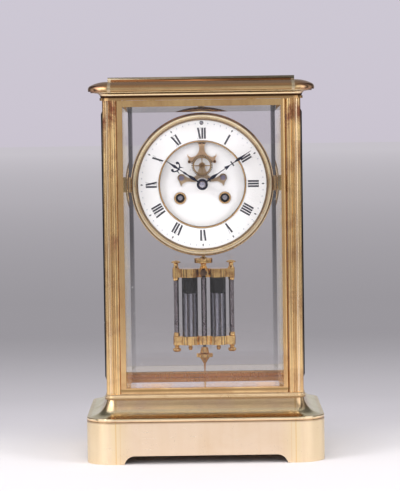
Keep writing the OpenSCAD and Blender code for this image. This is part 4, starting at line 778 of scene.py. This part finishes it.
def serif(x, half, end, d):
    inward = -d["serif"] if end == "head" else d["serif"]
    low, high = sorted((d[end], d[end] + inward))
    return [(x - half, low), (x + half, low), (x + half, high), (x - half, high)]


def numeralStrokes(text, d):
    x = -sum(d["letters"][letter]["advance"] for letter in text) / 2
    outlines = []
    for letter in text:
        form = d["letters"][letter]
        mid = x + form["advance"] / 2
        outlines += [leanStroke(mid + top, mid + foot, d[weight], d) for top, foot, weight in form["strokes"]]
        outlines += [serif(mid + shift, d[width], end, d) for shift, width, end in form["serifs"]]
        x += form["advance"]
    return outlines


def turnOutline(outline, degrees):
    c, s = math.cos(math.radians(degrees)), math.sin(math.radians(degrees))
    return [(x * c - y * s, x * s + y * c) for x, y in outline]


def markDial(d):
    strokes = [turnOutline(stroke, -30 * hour) for hour, text in enumerate(d["hours"])
               for stroke in numeralStrokes(text, d)]
    low, high = d["level"] - d["sunk"], d["level"] + d["rise"]
    settle(slabs("numerals", strokes, low, high, "numeralBlack"), "dial_ring")
    onEnamel = onDial @ Matrix.Translation((0, 0, d["level"] * mm))
    corners = [2 * math.pi * k / d["dotSides"] for k in range(d["dotSides"])]
    outline = [(d["dotRadius"] * math.cos(a), d["dotRadius"] * math.sin(a)) for a in corners]
    dot = slabs("dotItem", [outline], -d["sunk"], d["sunk"], "minuteGrey", None)
    settle(ringOf("minuteDots", dot, d["dotRing"], "minuteGrey", onEnamel), "dial_ring")
    diamond = slabs("diamondItem", [d["diamond"]], -d["sunk"], d["rise"], "numeralBlack", None)
    settle(ringOf("hourDiamonds", diamond, d["diamondRing"], "numeralBlack", onEnamel), "dial_ring")
    ring = lathe("regulatorRing", d["regulator"], "numeralBlack", d["regulatorAt"], d["regulatorSteps"])
    settle(ring, "dial_ring")


markDial(dialMarks)
print("dial marked")

# painted shade: dark cups for the shade inside the winding holes
windingHoles = {
    "x": 17.6, "y": -10.9, "steps": 48,
    "section": [(2.0, 3.9), (3.37, 3.9), (3.37, 8.2), (3.5, 8.2), (3.5, 3.7), (2.0, 3.7)],
}
for side, name in ((-1, "strikeHole"), (1, "goingHole")):
    at = (side * windingHoles["x"], windingHoles["y"])
    settle(lathe(name, windingHoles["section"], "holeDark", at, windingHoles["steps"]), "dial_pan")

# escapement trimmings, in the dial's frame
escapement = {
    "slot": [(-2.6, 31.75), (2.6, 31.75), (2.6, 32.7), (-2.6, 32.7)], "slotDepth": (11.05, 11.3),
    "pallet": [(0.0, 13.05), (0.75, 13.05), (1.0, 12.9), (1.0, 12.15), (0.0, 12.15)],
    "palletAt": (9.9, 17.8), "palletSteps": 40,
    "screw": [(0.0, 11.3), (1.6, 11.25), (2.3, 11.0), (2.45, 10.7), (2.45, 10.25), (0.0, 10.25)],
    "screwAt": (16.3, 5), "screwSteps": 48,
    "pivot": [(0.0, 12.35), (0.45, 12.33), (0.62, 12.2), (0.62, 11.9), (0.0, 11.9)],
    "wheelAt": (0, 14.6), "pivotSteps": 32,
    "tooth": [(-0.2, -0.5), (1.45, -0.7), (1.45, -0.08), (-0.2, 0.5)], "toothDepth": (11.25, 11.98),
    "toothRing": {"count": 36, "radius": 6.95},
    "boss": [(0.0, 20.75), (1.6, 20.6), (2.25, 20.1), (2.35, 19.5), (2.35, 19.0), (0.0, 19.0)],
    "bossSteps": 48,
}


def trimEscapement(e):
    # painted shadow: a black slab where the anchor's arbor passes
    settle(slabs("anchorSlot", [e["slot"]], *e["slotDepth"], "holeDark"), "anchor")
    for side, word in ((-1, "Left"), (1, "Right")):
        palletAt, screwAt = [(side * e[key][0], e[key][1]) for key in ("palletAt", "screwAt")]
        pallet = lathe("pallet" + word, e["pallet"], "palletDark", palletAt, e["palletSteps"])
        settle(pallet, "anchor")
        screw = lathe("bridgeScrew" + word, e["screw"], "screwSteel", screwAt, e["screwSteps"])
        settle(screw, "escape_bridge")
    pivot = lathe("escapePivot", e["pivot"], "palletDark", e["wheelAt"], e["pivotSteps"])
    settle(pivot, "escape_wheel")
    tooth = slabs("toothItem", [e["tooth"]], *e["toothDepth"], "toothDark", None)
    onWheel = onDial @ Matrix.Translation((*[v * mm for v in e["wheelAt"]], 0))
    settle(ringOf("escapeTeeth", tooth, e["toothRing"], "toothDark", onWheel), "escape_wheel")
    settle(lathe("centreBoss", e["boss"], "bossSteel", (0, 0), e["bossSteps"]), "minute_hand")


trimEscapement(escapement)
print("escapement trimmed")

# what fills the jars: quicksilver to its level, and the dark plugs above it
jars = {
    "x": 11.4, "y": 21.0, "radius": 6.3, "foot": 90.0, "level": 125.4, "plugFoot": 125.9, "plugTop": 138.4,
    "shoulder": (1.2, 0.35), "crown": 0.4, "steps": 64,
}


def fillJars(j):
    reach, level = j["radius"], j["level"]
    inward, rise = j["shoulder"]
    column = [(0.0, j["foot"]), (reach, j["foot"]), (reach, level), (reach - inward, level + rise),
              (0.0, level + j["crown"])]
    block = [(0.0, j["plugFoot"]), (reach, j["plugFoot"]), (reach, j["plugTop"]), (0.0, j["plugTop"])]
    for side, word in ((-1, "Left"), (1, "Right")):
        at = (side * j["x"], j["y"])
        filling = lathe("quicksilver" + word, column, "quicksilver", at, j["steps"], None)
        settle(filling, "mercury", ["mercury"] if side < 0 else ())
        settle(lathe("jarPlug" + word, block, "plugBlack", at, j["steps"], None), "jar_plate_top")


fillJars(jars)
print("jars filled")

# knurling of the rating nut
knurling = {
    "ridge": [(-0.3, -0.22), (0.25, 0), (-0.3, 0.22)], "low": 73.5, "high": 76.1, "y": 21,
    "ring": {"count": 48, "radius": 6.35},
}
ridge = slabs("ridgeItem", [knurling["ridge"]], knurling["low"], knurling["high"], "pendulumGilt", None)
onNut = Matrix.Translation((0, knurling["y"] * mm, 0))
settle(ringOf("nutKnurl", ridge, knurling["ring"], "pendulumGilt", onNut), "rating_nut")
print("nut knurled")

# the rounded bead along the foot of the base moulding
bead = {
    "low": 32.7, "high": 35.6, "reach": (93.0, 75.0), "radius": 0.7, "segments": 5,
    "endBand": 9, "frontBand": 1, "levelSlack": 0.02, "flatSlack": 0.001, "leastAngle": 1.2,
}


def roundNosing(thing, b):
    def onNosing(edge):
        ends = [vertex.co / mm for vertex in edge.verts]
        return (
            all(min(abs(end.z - b["low"]), abs(end.z - b["high"])) < b["levelSlack"] for end in ends)
            and abs(ends[0].z - ends[1].z) < b["flatSlack"]
            and len(edge.link_faces) == 2 and edge.calc_face_angle() > b["leastAngle"]
            and all(abs(end.x) > b["reach"][0] - b["endBand"] or abs(end.y) > b["reach"][1] - b["frontBand"]
                    for end in ends)
        )

    bm = bmesh.new()
    bm.from_mesh(thing.data)
    edges = [edge for edge in bm.edges if onNosing(edge)]
    bmesh.ops.bevel(bm, geom=edges, offset=b["radius"] * mm, segments=b["segments"], profile=0.5,
                    affect="EDGES", clamp_overlap=True)
    bm.to_mesh(thing.data)
    bm.free()
    print("nosing edges rounded:", len(edges))


roundNosing(copies["base_moulding"], bead)
evenNormals(copies["base_moulding"], smoothing["copyAngle"])

# pieces in two finishes, split by where a face's centre lies, in millimetres
paintLines = {
    "backRail": 40, "rodFoot": 94.2, "rodHead": 135.4, "hookFoot": 145.3, "jarRim": 138.3,
    "clipHalf": 3, "clipFront": 16.9, "bossFace": dialAxis["planeY"] - 19.2,
}


def repaint(nodeName, finish, test):
    data = copies[nodeName].data
    data.materials.append(made[finish])
    for polygon in data.polygons:
        if test(polygon.center / mm):
            polygon.material_index = len(data.materials) - 1


def paintSecondFinishes(p):
    repaint("lower_frame", "backSill", lambda c: c.y > p["backRail"])
    repaint("jar_rods", "rodSteel", lambda c: p["rodFoot"] < c.z < p["rodHead"])
    repaint("pendulum_rod", "rodSteel", lambda c: c.z < p["hookFoot"])
    repaint("jar_plate_top", "numeralBlack", lambda c: c.z < p["jarRim"])
    repaint("jar_plate_top", "palletDark", lambda c: abs(c.x) < p["clipHalf"] and c.y < p["clipFront"])
    repaint("minute_hand", "bossSteel", lambda c: c.y < p["bossFace"])


paintSecondFinishes(paintLines)
print("two-tone pieces painted")

# studio: floor tones by distance in front (-) or behind (+), in metres; room tones by height of view
studio = {
    "floorSize": 14, "worldLight": 0.60, "horizonTone": (0.585, 0.548, 0.62),
    # the floor's tones paint the fall of light across the paper, brightest under the clock
    "floorTones": [
        (-3.0, 0.33), (-1.3, 0.43), (-0.75, 0.64), (-0.4, 0.74), (-0.165, 0.75), (0.0, 0.785), (0.19, 0.55),
        (0.33, 0.465), (0.475, 0.435), (0.765, 0.357), (0.95, 0.325), (1.455, 0.325), (4.95, 0.44),
        (11.5, 0.57)],
    "floorSpan": (-3.0, 12.0), "tintTurn": 0.1, "nearTint": (1, 0.965, 1.0), "farTint": (1, 0.955, 1.03),
    "glowSpan": (0.35, 1.0), "sideFade": (1.5, 5.0), "frontFade": (-1.0, -6.0), "floorRoughness": 0.9,
    "backdropSpan": (-0.2, 0.5),
    "backdropTones": [
        (0.0, (0.45, 0.43, 0.46)), (0.28, (0.60, 0.56, 0.64)), (0.4, (0.62, 0.59, 0.67)),
        (1.0, (0.62, 0.60, 0.68))],
    "roomSpan": (-0.1, 1.0),
    "roomTones": [
        (0.0, 0.52), (0.12, 0.50), (0.22, 0.42), (0.4, 0.30), (0.7, 0.26), (0.86, 0.36), (1.0, 0.50)],
    "boxes": [  # bright panels that the metal mirrors: direction, edge, full, strength
        ((-0.62, -0.72, 0.30), 0.80, 0.93, 0.9), ((0.62, -0.72, 0.30), 0.80, 0.93, 0.7),
        ((-0.62, -0.42, 0.66), 0.78, 0.92, 1.4)],
    "lamps": [  # name, place, aim, size, power
        ("keyLeft", (-1.5, -1.3, 0.9), (0, 0, 0.17), (0.9, 1.4), 25),
        ("fillRight", (1.6, -1.1, 0.8), (0, 0, 0.17), (0.8, 1.4), 19),
        ("topSoft", (0, -0.4, 1.9), (0, 0, 0.1), (1.6, 1.0), 15),
        ("frontSoft", (0, -2.2, 0.9), (0, 0, 0.2), (1.2, 0.8), 10)],
}


def makeFloor(s):
    bpy.ops.mesh.primitive_plane_add(size=2 * s["floorSize"])
    floor = bpy.context.object
    floor.name = "floor"
    material, tree, shader, where = newMaterial("paperFloor")
    place = addNode(tree, "ShaderNodeSeparateXYZ", {0: where})
    near, far = s["floorSpan"]
    stops = []
    for y, tone in s["floorTones"]:
        tint = s["farTint"] if y > s["tintTurn"] else s["nearTint"]
        stops.append(((y - near) / (far - near), tuple(tone * part for part in tint)))
    tone = ramp(tree, mapRange(tree, place.outputs["Y"], near, far), stops)
    # at the sides and in front it fades to the backdrop's tone, for views from other directions
    aside = mapRange(tree, calc(tree, "ABSOLUTE", place.outputs["X"]), *s["sideFade"])
    ahead = mapRange(tree, place.outputs["Y"], *s["frontFade"])
    mirrored = addNode(tree, "ShaderNodeLightPath").outputs["Is Glossy Ray"]
    fade = calc(tree, "MULTIPLY", calc(tree, "MAXIMUM", aside, ahead), calc(tree, "SUBTRACT", 1.0, mirrored))
    tone = mixColor(tree, fade, tone, (*s["horizonTone"], 1))
    distance = vectorMath(tree, "LENGTH", where).outputs["Value"]
    tree.links.new(tone, shader.inputs["Base Color"])
    shader.inputs["Roughness"].default_value = s["floorRoughness"]
    bands = addNode(tree, "ShaderNodeGroup", node_tree=roomBands)
    tree.links.new(where, bands.inputs["Vector"])
    extra = calc(tree, "MULTIPLY", mirrored, calc(tree, "SUBTRACT", bands.outputs["Level"], 1.0))
    glow = addNode(tree, "ShaderNodeEmission", {"Color": tone, "Strength": calc(tree, "ADD", extra, 1.0)})
    join = addNode(tree, "ShaderNodeMixShader", {
        0: mapRange(tree, distance, *s["glowSpan"]), 1: shader.outputs[0], 2: glow.outputs[0]})
    tree.links.new(join.outputs[0], tree.nodes["Material Output"].inputs["Surface"])
    floor.data.materials.append(material)


def makeWorld(s):
    world = bpy.data.worlds.new("studioWorld")
    bpy.context.scene.world = world
    world.use_nodes = True
    tree = world.node_tree
    backdrop = tree.nodes["Background"]
    direction = addNode(tree, "ShaderNodeTexCoord").outputs["Generated"]
    height = addNode(tree, "ShaderNodeSeparateXYZ", {0: direction}).outputs["Z"]
    seen = ramp(tree, mapRange(tree, height, *s["backdropSpan"]), s["backdropTones"])
    room = ramp(tree, mapRange(tree, height, *s["roomSpan"]), s["roomTones"])
    bands = addNode(tree, "ShaderNodeGroup", node_tree=roomBands)
    tree.links.new(direction, bands.inputs["Vector"])
    room = mixColor(tree, 1.0, room, bands.outputs["Level"], "MULTIPLY")
    for aim, edge, full, strength in s["boxes"]:
        toBox = tuple(Vector(aim).normalized())
        closeness = vectorMath(tree, "DOT_PRODUCT", direction, toBox).outputs["Value"]
        box = ramp(tree, closeness, [(edge, 0.0), (full, strength)])
        room = mixColor(tree, 1.0, room, box, "ADD")
    path = addNode(tree, "ShaderNodeLightPath")
    straight = calc(tree, "MAXIMUM", path.outputs["Is Camera Ray"], path.outputs["Is Transmission Ray"])
    light = mixColor(tree, path.outputs["Is Glossy Ray"], (*[s["worldLight"]] * 3, 1), room)
    tree.links.new(mixColor(tree, straight, light, seen), backdrop.inputs["Color"])


def makeLamp(name, place, aim, size, power):
    data = bpy.data.lights.new(name, "AREA")
    data.shape = "RECTANGLE"
    data.size, data.size_y = size
    data.energy = power
    lamp = bpy.data.objects.new(name, data)
    lamp.location = place
    lamp.visible_glossy = False
    lamp.visible_transmission = False
    lamp.rotation_mode = "QUATERNION"
    lamp.rotation_quaternion = (Vector(aim) - Vector(place)).to_track_quat("-Z", "Y")
    sceneItems.link(lamp)


makeFloor(studio)
makeWorld(studio)
for lampSettings in studio["lamps"]:
    makeLamp(*lampSettings)
print("studio lit")
